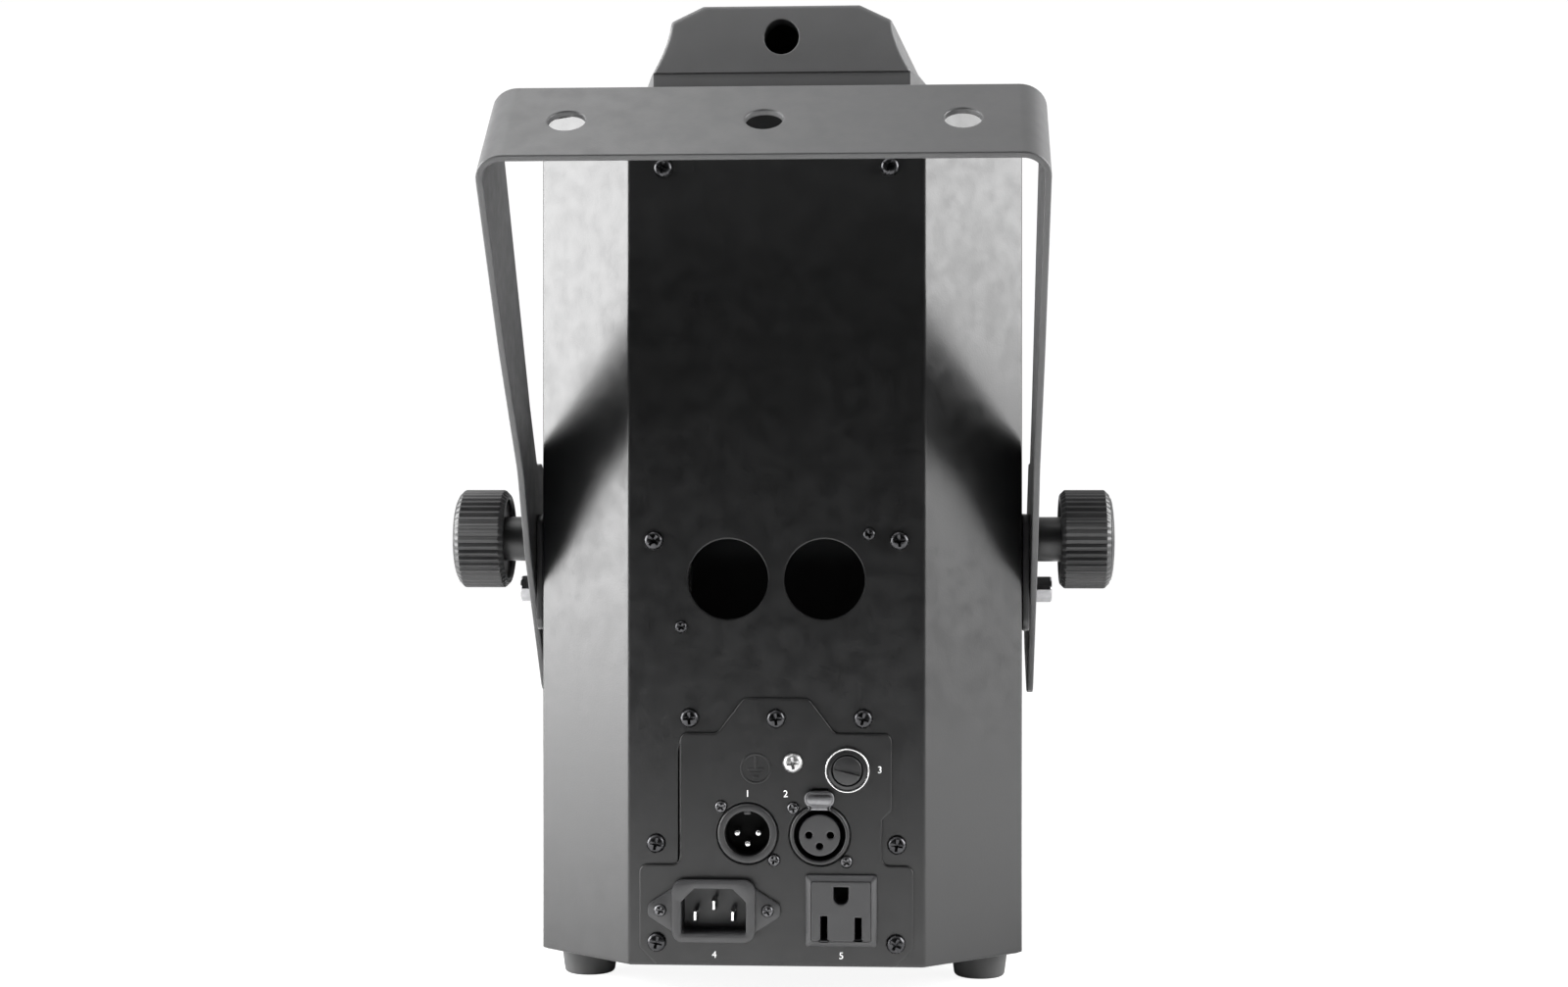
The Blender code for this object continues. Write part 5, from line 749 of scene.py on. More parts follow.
def makeRails():
    # each rail is a strip bent into a channel that opens to the middle; the bar is a flat
    (inner, _, low), (outer, front, high) = nodeBox("frame_rail_right")
    rear = coverLow[1] + cover["sheet"] + gap
    corners = [(inner, rear, 0), (outer, rear, rail["bend"]), (outer, front, rail["bend"]), (inner, front, 0)]
    folds, length, carry = alongPath(corners, 4)
    outline = [(0, low), (length, low), (length, high), (0, high)]
    for hand, side in (("left", -1), ("right", 1)):
        points, faces = cutSheet(outline, [], rail["sheet"], rail["edge"], folds,
                                 lambda flat: np.stack(carry(flat), -1), 1)
        buildPiece("rail_channel_" + hand, [(points * (side, 1, 1), faces)], "dullPlate",
                   "frame_rail_" + hand)
    low, high = nodeBox("nut_bar")
    middle, half = (low + high) / 2, (high - low) / 2
    bar = cutSheet(roundedBox(half[0], half[2], rail["barRound"], 3), [], rail["barThick"], rail["barEdge"])
    buildPiece("nut_bar_strip", [placed(bar, (middle[0], rear, middle[2]))], "dullPlate",
               "nut_bar")


# Connector plate

plate = {"half": 0.0510, "cut": 0.0065, "shoulder": 0.0375, "neckLeft": 0.0359, "neckRight": 0.0394,
         "earX": 0.0430, "earZ": 0.0545, "earRise": 0.0035, "earRound": 0.001, "neckTop": 0.0865,
         "rampX": 0.0220, "peakX": 0.0120, "peakZ": 0.0995, "round": 0.003, "thick": 0.0012, "edge": 0.0004,
         "fuseHole": 0.0066, "outletHole": 0.0118, "latchPlay": 0.0004}
places = {"signalIn": (-0.0106, 0.0493), "signalOut": (0.0163, 0.0489), "fuse": (0.0266, 0.0731),
          "inlet": (-0.0230, 0.0208), "outlet": (0.0243, 0.0210)}


def makePlate():
    # the outline runs from the lower left corner round the notches, with a hole for each fitting
    r, half, cut, shoulder = plate["round"], plate["half"], plate["cut"], plate["shoulder"]
    left, right, top = plate["neckLeft"], plate["neckRight"], plate["neckTop"]
    earX, earZ, small = plate["earX"], plate["earZ"], plate["earRound"]
    rampX, peakX, peakZ = plate["rampX"], plate["peakX"], plate["peakZ"]
    outline = roundedLine([
        (cut - half, 0, r), (half - cut, 0, r), (half, cut, r), (half, shoulder, r), (right, shoulder, r),
        (right, earZ, small), (earX, earZ + plate["earRise"], small), (earX, top, r), (rampX, top, r),
        (peakX, peakZ, r), (-peakX, peakZ, r), (-rampX, top, r), (-left, top, r), (-left, shoulder, r),
        (-half, shoulder, r), (-half, cut, r)], 6)
    holes = [circle(signal["radius"] + gap, 48, places[name]) for name in ("signalIn", "signalOut")]
    holes += [circle(plate["fuseHole"], 28, places["fuse"]),
              roundedBox(inlet["bodyHalf"], inlet["bodyHigh"], 0.001, 3, places["inlet"]),
              roundedBox(plate["outletHole"], plate["outletHole"], 0.001, 3, places["outlet"])]
    low, high = nodeBox("xlr_latch")
    play, stem = plate["latchPlay"], latch["stemHigh"] / 2
    holes.append(roundedBox(latch["stemHalf"] + play, stem + play, 0.0004, 2,
                            ((low[0] + high[0]) / 2, high[2] - stem - coverLow[2])))
    sheet = placed(cutSheet(outline, holes, plate["thick"], plate["edge"], edgeSteps=3),
                   (0, plateLow[1], coverLow[2]))
    buildPiece("connector_plate", [sheet], "plateBlack", "io_plate")


earth = {"place": (-0.0075, 0.0735), "radius": 0.0058, "line": 0.00045, "sunk": 0.0002, "rise": 0.00025,
         "soft": 0.0001,
         # the stem's and then each bar's height over the middle and half length, in radii
         "strokes": [(0.38, 0.40), (-0.06, 0.52), (-0.30, 0.36), (-0.54, 0.18)]}


def raisedBar(half, high):
    # an upright stack: the bar's outline from under the plate's face to its rise, and a softened top
    bar, soft, rise = roundedBox(half, high, 0.0001, 2), earth["soft"], earth["rise"]
    return stacked([(bar, -earth["sunk"]), (bar, rise),
                    (roundedBox(half - soft, high - soft, soft / 2, 2), rise + soft), (None, rise + soft)])


def makeEarthMark():
    # the plain earth sign, embossed: a ring, a stem and three bars
    (x, z), radius, line = earth["place"], earth["radius"], earth["line"]
    bore, foot, rise = radius - 2 * line, -earth["sunk"], earth["rise"]
    ring = turned(roundedLine([(bore, foot, 0), (radius, foot, 0), (radius, rise, 0.00015),
                               (bore, rise, 0.00015)], 3), 56, closed=True)
    parts = [placed(ring, onRear((x, z), plateLow[1]))]
    for index, (up, reach) in enumerate(earth["strokes"]):
        half, high = (radius * reach, line) if index else (line, radius * reach)
        parts.append(placed(raisedBar(half, high), onRear((x, z + radius * up), plateLow[1])))
    buildPiece("earth_mark", parts, "plateBlack")


# Signal connectors

signal = {"radius": 0.0111, "stand": 0.0018, "depth": 0.022, "socket": 0.0084, "socketDepth": 0.012,
          "groove": 0.00965, "contactX": 0.0040, "contactZ": 0.0041, "pin": 0.0012, "pinLength": 0.0095,
          "insert": 0.0077, "insertDepth": 0.0105, "insertSunk": 0.0006, "hole": 0.00135, "screw": 0.0099,
          "flange": 0.0129, "flangeRound": 0.002, "flangeThick": 0.0015, "flangeBore": 0.0107,
          # the painted-shade liner's thickness and how far below the lip it ends
          "skin": 0.0002, "shadeLinerDrop": 0.0016,
          # the key over the pins: half its width and height, and how far below the lip it ends
          "key": (0.0012, 0.0009, 0.0012)}
contacts = [(-signal["contactX"], 0.0), (signal["contactX"], 0.0), (0.0, -signal["contactZ"])]


def nose(bore):
    # the round nose of a panel connector, turned: a soft lip outside and in, and a floor
    radius, stand = signal["radius"], signal["stand"]
    floor, end = stand - signal["socketDepth"], stand - signal["depth"]
    profile = roundedLine([(0, floor, 0), (bore, floor, 0.0004), (bore, stand, 0.0005),
                           (radius, stand, 0.0008), (radius, end, 0), (0, end, 0)], 5, False)
    return turned(profile, 72)


def shadeLiner(bore):
    # painted shade: a thin near-black, barely glossy cup against a connector's bore and floor, standing in
    # for its unlit inside
    top, floor = signal["stand"] - signal["shadeLinerDrop"], signal["stand"] - signal["socketDepth"]
    skin = signal["skin"]
    return turned([(0, floor + skin), (bore - skin, floor + skin), (bore - skin, top), (bore + skin, top),
                   (bore + skin, floor - skin), (0, floor - skin)], 72)


def flangeBehind():
    # the square flange behind the plate, bored for the round nose
    points, faces = cutSheet(roundedBox(signal["flange"], signal["flange"], signal["flangeRound"], 3),
                             [circle(signal["flangeBore"], 48)], signal["flangeThick"], 0.0002)
    return points - (0, 0, plate["thick"] + gap), faces


def makeSocket(name, place, bore, node, more=()):
    # what both signal connectors have: nose, flange, painted-shade liner and two screws on a slant
    at = onRear(place, plateLow[1])
    parts = [placed(part, at) for part in (nose(bore), flangeBehind(), *more)]
    spots = [(place[0] - side * signal["screw"], place[1] + side * signal["screw"]) for side in (-1, 1)]
    buildPiece(name + "_shell", parts, "socketBlack", node)
    buildPiece(name + "_shade_liner", [placed(shadeLiner(bore), at)], "paintedShadeBlack")
    buildPiece(name + "_screws", screwParts(spots, plateLow[1] - gap, "little"), "smokeZinc",
               crease=30)
    return at


def makeSignalIn():
    # the male connector: a key ridge at the top of its bore and three turned pins on its floor
    stand, socket, floor = signal["stand"], signal["socket"], signal["stand"] - signal["socketDepth"]
    half, high, drop = signal["key"]
    ridge = roundedBox(half, high, 0.0003, 2)
    points, faces = stacked([(ridge, floor), (ridge, stand - drop), (None, stand - drop + 0.0002)])
    at = makeSocket("signal_in", places["signalIn"], socket, "xlr_input",
                    [(points + (0, socket - 0.0004, 0), faces)])
    radius, foot, top = signal["pin"], floor - signal["skin"], floor + signal["pinLength"]
    pin = turned(roundedLine([(0, foot, 0), (radius, foot, 0), (radius, top, 0.0008), (0, top, 0)], 5,
                             False), 24)
    pins = [placed(pin, (at[0] + x, at[1], at[2] + z)) for x, z in contacts]
    buildPiece("signal_in_pins", pins, "brightZinc")


def makeSignalOut():
    # the female connector: a round insert in a groove, bored at the three contacts
    at = makeSocket("signal_out", places["signalOut"], signal["groove"], "xlr_output")
    holes = [circle(signal["hole"], 24, place) for place in contacts]
    insert = cutSheet(circle(signal["insert"], 64), holes, signal["insertDepth"], 0.0003)
    face = at[1] - signal["stand"] + signal["insertSunk"]
    buildPiece("signal_out_insert", [placed(insert, (at[0], face, at[2]))], "facePlastic",
               "xlr_output_insert")


latch = {"half": 0.0055, "padHigh": 0.0056, "neckHalf": 0.0027, "footHalf": 0.0042, "thick": 0.0009,
         "edge": 0.0004, "stemHalf": 0.0028, "stemHigh": 0.0018, "dishInset": 0.0010, "dishRise": 0.00022,
         # corner radii of the pad and of the dish on it, in pad heights
         "padRound": 0.46, "dishRound": 0.28}


def makeLatch():
    # a flat tab, wide at the pad, narrow at the neck, with a raised dish on the pad and a stem behind
    low, high = nodeBox("xlr_latch")
    middle, tall, deep = (low[0] + high[0]) / 2, high[2] - low[2], high[1] - low[1]
    half, neck, base, padHigh = latch["half"], latch["neckHalf"], latch["footHalf"], latch["padHigh"]
    shoulder, bow = tall - padHigh, padHigh * latch["padRound"]
    left = [(base, 0, 0.0003), (base * 0.94, 0.0004, 0.0002), (neck, shoulder - 0.0002, 0.0006),
            (half, shoulder, bow), (half, tall, bow)]
    outline = roundedLine([(-x, z, r) for x, z, r in left] + left[::-1], 6)
    tab = cutSheet(outline, [], latch["thick"], latch["edge"], edgeSteps=3)
    rise, away = latch["dishRise"], latch["dishInset"]
    dish = roundedBox(half - away, padHigh / 2 - away, padHigh * latch["dishRound"], 6)
    pad = stacked([(dish, -0.0002), (dish, 0.0001), (inset(dish, 0.0003), rise), (None, rise)])
    stem = roundedBox(latch["stemHalf"], latch["stemHigh"] / 2, crisp, 2)
    stalk = stacked([(stem, -deep), (stem, -latch["thick"] / 2)])
    parts = [placed(tab, (middle, low[1] + rise, low[2])),
             placed(pad, (middle, low[1] + rise, high[2] - padHigh / 2)),
             placed(stalk, (middle, low[1], high[2] - latch["stemHigh"] / 2))]
    buildPiece("latch_tab", parts, "greyZinc", "xlr_latch", "latch")


# Fuse holder

fuse = {"ring": 0.0082, "rim": 0.00055, "ringThick": 0.0022, "cap": 0.0054, "play": 0.0004, "well": 0.008,
        "body": 0.0063, "bodyDepth": 0.022, "turn": math.radians(-14), "rimRound": 0.45,
        # the cap's rise, width of its slot, slot depth and reach, shank radius and length
        "head": (0.0008, 0.0016, 0.0012, 0.0052, 0.0046, 0.0075), "headPower": 14.0}


def makeFuse():
    # a black bush with a bright ring pressed round its edge, and the slotted cap in it
    at = onRear(places["fuse"], nodeBox("fuse_holder")[0][1])
    bore, ring, rim, thick = fuse["cap"] + fuse["play"], fuse["ring"], fuse["rim"], fuse["ringThick"]
    well, body, end = -fuse["well"], fuse["body"], -fuse["bodyDepth"]
    profile = roundedLine([(0, well, 0), (bore, well, 0), (bore, -0.0004, 0.0003),
                           (ring - rim, -0.0009, 0.0002), (ring - rim, -thick, 0), (body, -thick, 0),
                           (body, end, 0), (0, end, 0)], 5, False)
    buildPiece("fuse_bush", [placed(turned(profile, 64), at)], "socketBlack", "fuse_holder")
    soft = rim * fuse["rimRound"]
    edge = turned(roundedLine([(ring - rim, 0, soft), (ring, 0, soft), (ring, -thick, 0.0001),
                               (ring - rim, -thick, 0.0001)], 5), 72, closed=True)
    buildPiece("fuse_ring", [placed(edge, at)], "brightZinc")
    points, faces = slottedHead(fuse["cap"], *fuse["head"], arms=2, power=fuse["headPower"], fill=20)
    buildPiece("fuse_cap_head", [placed((points @ spun(fuse["turn"]), faces), at)], "socketBlack",
               "fuse_cap", "fuse_cap")


# Mains inlet and outlet

inlet = {"screwX": 0.020, "ear": 0.0047, "flange": 0.002, "bezelHalf": 0.01545, "bezelHigh": 0.01155,
         "bezel": 0.0022, "bezelRound": 0.0042, "mouthHalf": 0.01205, "mouthHigh": 0.0084, "mouthCut": 0.005,
         "mouthDepth": 0.015, "bodyHalf": 0.0132, "bodyHigh": 0.0098, "bodyDepth": 0.021, "soft": 0.0004,
         "bladeX": 0.007, "bladeRise": 0.004, "blade": (0.001, 0.002), "bladeLength": 0.013,
         # the ears' half height in radii, and the blades' points as shares of their sides
         "earShare": 0.45, "bladePoint": (0.4, 0.8)}


def softEdge(loop, height, soft, share=0.3):
    # three rings over a rounded edge: where it starts, on its way, and on the flat that it ends in
    drop = abs(soft)
    return [(loop, height - drop), (inset(loop, soft * share), height - drop * share),
            (inset(loop, soft), height)]


def makeInlet():
    # rings of one stack from the rim of the flange up over the bezel and down to the mouth's floor
    ear, high = inlet["ear"], inlet["bezelHigh"] - 0.001
    wide, end, tall = inlet["bezelHalf"] - 0.004, inlet["screwX"] + ear, ear * inlet["earShare"]
    corners = [(wide, -high, 0.002), (end, -tall, ear / 2), (end, tall, ear / 2), (wide, high, 0.002)]
    flange = roundedLine(corners + [(-x, -z, r) for x, z, r in corners], 6)
    bezel = roundedBox(inlet["bezelHalf"], inlet["bezelHigh"], inlet["bezelRound"], 6)
    half, mouth, cut = inlet["mouthHalf"], inlet["mouthHigh"], inlet["mouthCut"]
    opening = roundedLine([(-half, -mouth, 0.001), (half, -mouth, 0.001), (half, mouth - cut, 0.0006),
                           (half - cut, mouth, 0.0006), (cut - half, mouth, 0.0006),
                           (-half, mouth - cut, 0.0006)], 4)
    body = roundedBox(inlet["bodyHalf"], inlet["bodyHigh"], 0.001, 3)
    top, rise, soft = inlet["flange"], inlet["flange"] + inlet["bezel"], inlet["soft"]
    end, floor = top - inlet["bodyDepth"], rise - inlet["mouthDepth"]
    levels = [(None, end), (body, end), (body, 0), (flange, 0)] + softEdge(flange, top, soft)
    levels += [(bezel, top)] + softEdge(bezel, rise, soft) + softEdge(opening, rise, -soft)[::-1]
    levels += [(opening, floor), (None, floor)]
    at = onRear(places["inlet"], plateLow[1] - gap)
    buildPiece("inlet_body", [placed(stacked(levels, 48), at)], "facePlastic", "iec_inlet",
               crease=40)
    blade, tip = np.array(inlet["blade"]), floor + inlet["bladeLength"]
    bar, point = roundedBox(*blade, crisp, 2), roundedBox(*(blade * inlet["bladePoint"]), crisp, 2)
    blade = stacked([(bar, floor - 0.0002), (bar, tip - 0.0012), (point, tip), (None, tip)])
    spots = [(-inlet["bladeX"], 0), (0, inlet["bladeRise"]), (inlet["bladeX"], 0)]
    blades = [placed(blade, (at[0] + x, at[1], at[2] + z - inlet["bladeRise"] / 2)) for x, z in spots]
    buildPiece("inlet_blades", blades, "brightZinc")
    x, z = places["inlet"]
    ears = screwParts([(x + side * inlet["screwX"], z) for side in (-1, 1)], at[1] - top, "little")
    buildPiece("inlet_screws", ears, "smokeZinc", crease=30)


outlet = {"half": 0.0132, "bevel": 0.002, "bevelDrop": 0.0012, "stand": 0.003, "lip": 0.004, "slotX": 0.00635,
          "slotWidth": 0.0026, "slotLeft": 0.0092, "slotRight": 0.0082, "slotDrop": 0.0063,
          "earthWide": 0.0056, "earthHigh": 0.0066, "earthRise": 0.0058, "depth": 0.013}


def makeOutlet():
    # a cut sheet with the three openings, in a bevelled frame that is a stack of rings
    at = onRear(places["outlet"], plateLow[1] - gap)
    half, flat, stand = outlet["half"], outlet["half"] - outlet["bevel"], outlet["stand"]
    holes = [roundedBox(outlet["slotWidth"] / 2, high / 2, crisp, 2,
                        (side * outlet["slotX"], -outlet["slotDrop"]))
             for side, high in ((-1, outlet["slotLeft"]), (1, outlet["slotRight"]))]
    wide, low = outlet["earthWide"] / 2, outlet["earthRise"] - outlet["earthHigh"] / 2
    high = low + outlet["earthHigh"]
    holes.append(roundedLine([(-wide, low, wide * 0.98), (wide, low, wide * 0.98), (wide, high, 0.0004),
                              (-wide, high, 0.0004)], 8))
    soft = 0.0001
    face = cutSheet(roundedBox(flat - soft, flat - soft, 0.0009, 4), holes, outlet["depth"], 0.00025)
    rim, lip = roundedBox(half, half, 0.001, 4), roundedBox(flat, flat, 0.001, 4)
    deep, shoulder = stand - outlet["lip"], stand - outlet["bevelDrop"]
    ring = stacked([(lip, deep), (rim, 0), (rim, shoulder - 0.0002), (inset(rim, soft), shoulder),
                    (inset(lip, -soft), stand), (lip, stand - soft), (lip, deep)])
    buildPiece("outlet_body", [placed(face, (at[0], at[1] - stand, at[2])), placed(ring, at)],
               "facePlastic", "power_outlet", crease=30)


# Rubber feet, stop pins and friction plates

foot = {"topRadius": 0.01125, "soleRadius": 0.0095, "bore": 0.0026, "pocket": 0.005, "pocketHigh": 0.005}


def makeFeet():
    # a closed turned profile: the sole's pocket, the screw's bore, the top and the tapered side
    bore, pocket, step = foot["bore"], foot["pocket"], foot["pocketHigh"]
    sole, wide = foot["soleRadius"], foot["topRadius"]
    for index in range(1, 5):
        low, high = nodeBox("foot_%d" % index)
        tall = high[2] - low[2]
        profile = roundedLine([(pocket, step, 0.0004), (bore, step, 0), (bore, tall, 0), (wide, tall, 0.0006),
                               (wide - 0.0002, tall - 0.0015, 0.001), (sole + 0.0002, 0, 0.0018),
                               (pocket, 0, 0.0006)], 6)
        part = placed(turned(profile, 56, closed=True), (*((low + high) / 2)[:2], low[2]), "up")
        buildPiece("foot_%d_rubber" % index, [part], "rubber", "foot_%d" % index)


stop = {"across": 0.0099, "head": 0.0066, "proud": 0.0016, "shank": 0.003,
        # the dish in the head: where it starts and ends as shares of the round top, and its depth
        "dish": (0.86, 0.80), "dishDrop": 0.0004,
        "plateRound": 0.005, "plateEdge": 0.0004, "pinHole": 0.0033, "studHole": 0.0043}


def makeStops(hand, side):
    # the pin is a stack from a hexagon to a round, dished top, on a turned shank; the plate is a sheet
    facing = "right" if side > 0 else "left"
    low, high = nodeBox("stop_pin_" + hand)
    _, y, z = (low + high) / 2
    head, dish, (start, end) = stop["head"], stop["head"] - stop["dishDrop"], stop["dish"]
    hexagon = circle(stop["across"] / math.sqrt(3), 6)
    soft = circle(stop["across"] / 2 - 0.0002, 48)
    cap = stacked([(circle(stop["shank"], 24), -0.0001), (hexagon, -0.0001), (hexagon, head - 0.0006),
                   (soft, head), (soft * start, head), (soft * end, dish), (None, dish)], 48)
    long = high[0] - low[0] + stop["proud"] - head
    shank = turned([(0, -long), (stop["shank"], -long), (stop["shank"], 0)], 24)
    outer = (high[0] if side > 0 else -low[0]) + stop["proud"] - head
    parts = [placed(part, (side * outer, y, z), facing) for part in (cap, shank)]
    buildPiece("stop_pin_%s_head" % hand, parts, "boltZinc",
               "stop_pin_" + hand, crease=25)
    low, high = nodeBox("side_plate_" + hand)
    (thick, deep, tall), (_, midY, midZ) = high - low, (low + high) / 2
    holes = [circle(stop["studHole"], 28, (side * (axisY - midY), axisZ - midZ)),
             circle(stop["pinHole"], 24, (side * (y - midY), z - midZ))]
    sheet = cutSheet(roundedBox(deep / 2, tall / 2, stop["plateRound"], 8), holes, thick, stop["plateEdge"])
    sheet = placed(sheet, (high[0] if side > 0 else low[0], midY, midZ), facing)
    buildPiece("side_plate_%s_sheet" % hand, [sheet], "socketBlack", "side_plate_" + hand)


makeScrews()
makeRails()
makePlate()
makeEarthMark()
makeSignalIn()
makeSignalOut()
makeLatch()
makeFuse()
makeInlet()
makeOutlet()
makeFeet()
for hand, side in (("left", -1), ("right", 1)):
    makeStops(hand, side)
print("fasteners, connectors, feet and stops made")


# Plain pieces: the solids themselves, with closed seams and rounded edges

rounding = [
    # slot, finish, how wide the rounded edges are, and the nodes
    ("black_paint", "satinBlack", 0.0004, ["head_plate", "lens_deck"]),
    ("black_paint", "satinDark", 0.0004, ["chassis", "base_plate"]),
    ("shell_plastic", "shellBlack", 0.0007, ["front_shell"]),
    ("aluminium", "aluminium", 0.0003, ["pan_bracket", "mirror_carrier", "heatsink", "gobo_wheel",
                                        "condenser_holder"]),
    ("aluminium", "dullPlate", 0.0003, ["engine_frame"]),
    ("mirror", "mirrorGlass", 0.0005, ["mirror_glass"]),
    ("motor", "motorBlack", 0.0005, ["pan_motor", "tilt_motor", "gobo_motor", "colour_motor"]),
    ("board", "boardGreen", 0.0002, ["power_board", "control_board"]),
    ("dark_paint", "satinDark", 0.0005, ["lens_collar", "focus_barrel"]),
    ("dark_paint", "dullPlate", 0.0005, ["focus_screw"]),
    ("dark_paint", "socketBlack", 0.0005, ["fan_frame", "fan_rotor"]),
    ("glass", "lensGlass", 0.0003, ["condenser_lens", "colour_wheel"]),
    ("display", "screenDark", 0.0005, ["display"]),
    ("led", "phosphor", 0.0003, ["led_module"]),
]
# edges that turn by more than the first are rounded; faces that turn by less than the second are one
roundFrom, flatWithin = math.radians(35), math.radians(0.5)


def meshPart(mesh):
    # a mesh's points and faces
    flat = np.empty(3 * len(mesh.vertices))
    mesh.vertices.foreach_get("co", flat)
    return flat.reshape(-1, 3), [list(face.vertices) for face in mesh.polygons]


def softened(node, width, material):
    # a copy of the solid, merged, its flat faces made whole, with a bevel along each real edge
    source = frame["nodes"][node]
    piece = buildPiece(node + "_soft", [meshPart(source.data)], material, node, source["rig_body"], 180)
    work = bmesh.new()
    work.from_mesh(piece.data)
    bmesh.ops.dissolve_limit(work, angle_limit=flatWithin, verts=work.verts, edges=work.edges)
    work.to_mesh(piece.data)
    work.free()
    edges = piece.modifiers.new("edges", "BEVEL")
    edges.width, edges.segments, edges.limit_method, edges.angle_limit = width, 2, "ANGLE", roundFrom
    edges.harden_normals = True
    return piece


# Focusing lens, display and buttons

lens = {"sag": 0.0028}
display = {"pitch": 0.0094, "across": 0.0050, "high": 0.0104, "line": 0.0011, "rise": 0.00025,
           # which of the seven bars each digit lights: top, middle, bottom, then the four uprights
           "lit": ["1011111", "1011111", "1011111", "0000011"]}
button = {"radius": 0.004, "proud": 0.0015, "dome": 0.0003, "lip": 0.005, "lipHigh": 0.001, "stem": 0.0015,
          "shelf": 0.0031}


def makeLens():
    # turned: each face is a bow h(r) = top - sag * (r / R) ** 2
    low, high = nodeBox("objective_lens")
    radius, tall = (high[0] - low[0]) / 2, high[2] - low[2]
    out = np.linspace(0, 1, 16)
    top = np.stack([radius * out, tall - lens["sag"] * out ** 2], -1)
    under = np.stack([radius * out[::-1], lens["sag"] * out[::-1] ** 2], -1)
    body = turned(np.concatenate([top, under]), 72)
    buildPiece("objective_glass", [placed(body, (*((low + high) / 2)[:2], low[2]), "up")], "lensGlass",
               "objective_lens", "barrel")


def makeDigits():
    # plain seven-bar numerals that stand a hair above the display's face
    low, high = nodeBox("display")
    a, b, line, rise = display["across"] / 2, display["high"] / 2, display["line"] / 2, display["rise"]
    bars = [(0, b - line, a - 2 * line, line), (0, 0, a - 2 * line, line), (0, line - b, a - 2 * line, line)]
    bars += [(x * (a - line), z * b / 2, line, b / 2 - 2 * line) for x in (-1, 1) for z in (1, -1)]
    x, _, z = (low + high) / 2
    parts = []
    for index, code in enumerate(display["lit"]):
        middle = x + ((len(display["lit"]) - 1) / 2 - index) * display["pitch"]
        for lit, (across, up, half, tall) in zip(code, bars):
            if lit == "1":
                bar = roundedBox(half, tall, crisp, 2)
                block = stacked([(None, -rise), (bar, -rise), (bar, rise), (None, rise)])
                parts.append(placed(block, (middle - across, high[1], z + up), "front"))
    buildPiece("display_digits", parts, "litDigit")


def makeButtons():
    # turned: a bow h(r) = proud - dome * (r / R) ** 2 on a short barrel, a lip and a stem
    radius, proud, lip, stem = button["radius"], button["proud"], button["lip"], button["stem"]
    shelf, under, dome = -button["shelf"], -button["shelf"] - button["lipHigh"], button["dome"]
    for index in range(1, 5):
        name = "button_%d" % index
        low, high = nodeBox(name)
        deep = low[1] - high[1] + proud
        profile = roundedLine([(radius * t, proud - dome * t ** 2, 0) for t in np.linspace(0, 0.8, 6)] + [
            (radius, proud - dome, 0.0006), (radius, shelf, 0), (lip, shelf, 0.0002), (lip, under, 0.0002),
            (stem, under, 0), (stem, deep, 0), (0, deep, 0)], 4, False)
        at = ((low[0] + high[0]) / 2, high[1] - proud, (low[2] + high[2]) / 2)
        buildPiece(name + "_cap", [placed(turned(profile, 48), at, "front")], "facePlastic",
                   name, name)


# Plain numerals where the photograph has its printed words

marks = {"size": 0.0036, "thick": 0.00006,
         # numeral, place across and above the cover's bottom edge
         "at": [("1", -0.0106, 0.0640), ("2", 0.0036, 0.0640), ("3", 0.0386, 0.0731), ("4", -0.0230, 0.0040),
                ("5", 0.0243, 0.0040)]}


def makeMarks():
    # each numeral is written as a text curve, and its mesh is taken over as a plain part
    parts = []
    for text, x, z in marks["at"]:
        curve = bpy.data.curves.new("numeral", "FONT")
        curve.body, curve.size, curve.extrude = text, marks["size"], marks["thick"]
        curve.align_x, curve.align_y = "CENTER", "CENTER"
        writing = bpy.data.objects.new("numeral", curve)
        bpy.context.scene.collection.objects.link(writing)
        mesh = bpy.data.meshes.new_from_object(writing)
        parts.append(placed(meshPart(mesh), onRear((x, z), plateLow[1] - marks["thick"] / 2)))
        bpy.data.objects.remove(writing)
        bpy.data.curves.remove(curve)
        bpy.data.meshes.remove(mesh)
    buildPiece("panel_numerals", parts, "printWhite")


for slot, material, width, names in rounding:
    for name in names:
        softened(name, width, material)
makeLens()
makeDigits()
makeButtons()
makeMarks()
print("plain pieces rounded, lens, display, buttons and numerals made")


# Stage, lamps and camera

stage = {"floorSize": 12.0, "floorRear": -0.52, "floorTone": 0.90, "cameraWhite": 0.91, "cameraLit": 0.30}
studio = {"ambient": 0.36, "backdrop": 1.02, "glossGlow": 1.0, "rearGlow": 0.02,
          # the glow in reflections falls off between these two values of a direction's y
          "glowFrom": -0.80, "glowTo": -0.2}
lamps = {
    # where each soft box stands, where it looks, its width and height, and its power
    "leftBox": dict(at=(-1.3, 0.0, 0.50), look=(0, 0, 0.22), size=(1.0, 0.95), power=40),
    "lowLeft": dict(at=(-0.70, -0.25, 0.45), look=(-0.24, -0.10, 0), size=(0.4, 0.4), power=10, seen=False),
    "lowRight": dict(at=(0.70, -0.25, 0.45), look=(0.24, -0.10, 0), size=(0.4, 0.4), power=4, seen=False),
    "rightBox": dict(at=(1.3, 0.0, 0.72), look=(0, 0, 0.22), size=(1.0, 0.95), power=40),
    "topBox": dict(at=(-0.60, -0.1, 1.55), look=(0, 0, 0.2), size=(1.2, 1.2), power=15),
}


def cleared(owner):
    # an empty node tree
    owner.use_nodes = True
    owner.node_tree.nodes.clear()
    return owner.node_tree


def mixed(tree, share, first, second):
    # first where share is 0, second where it is 1
    mix = addNode(tree, "MixShader")
    for socket, source in enumerate((share, first.outputs[0], second.outputs[0])):
        tree.links.new(source, mix.inputs[socket])
    return mix


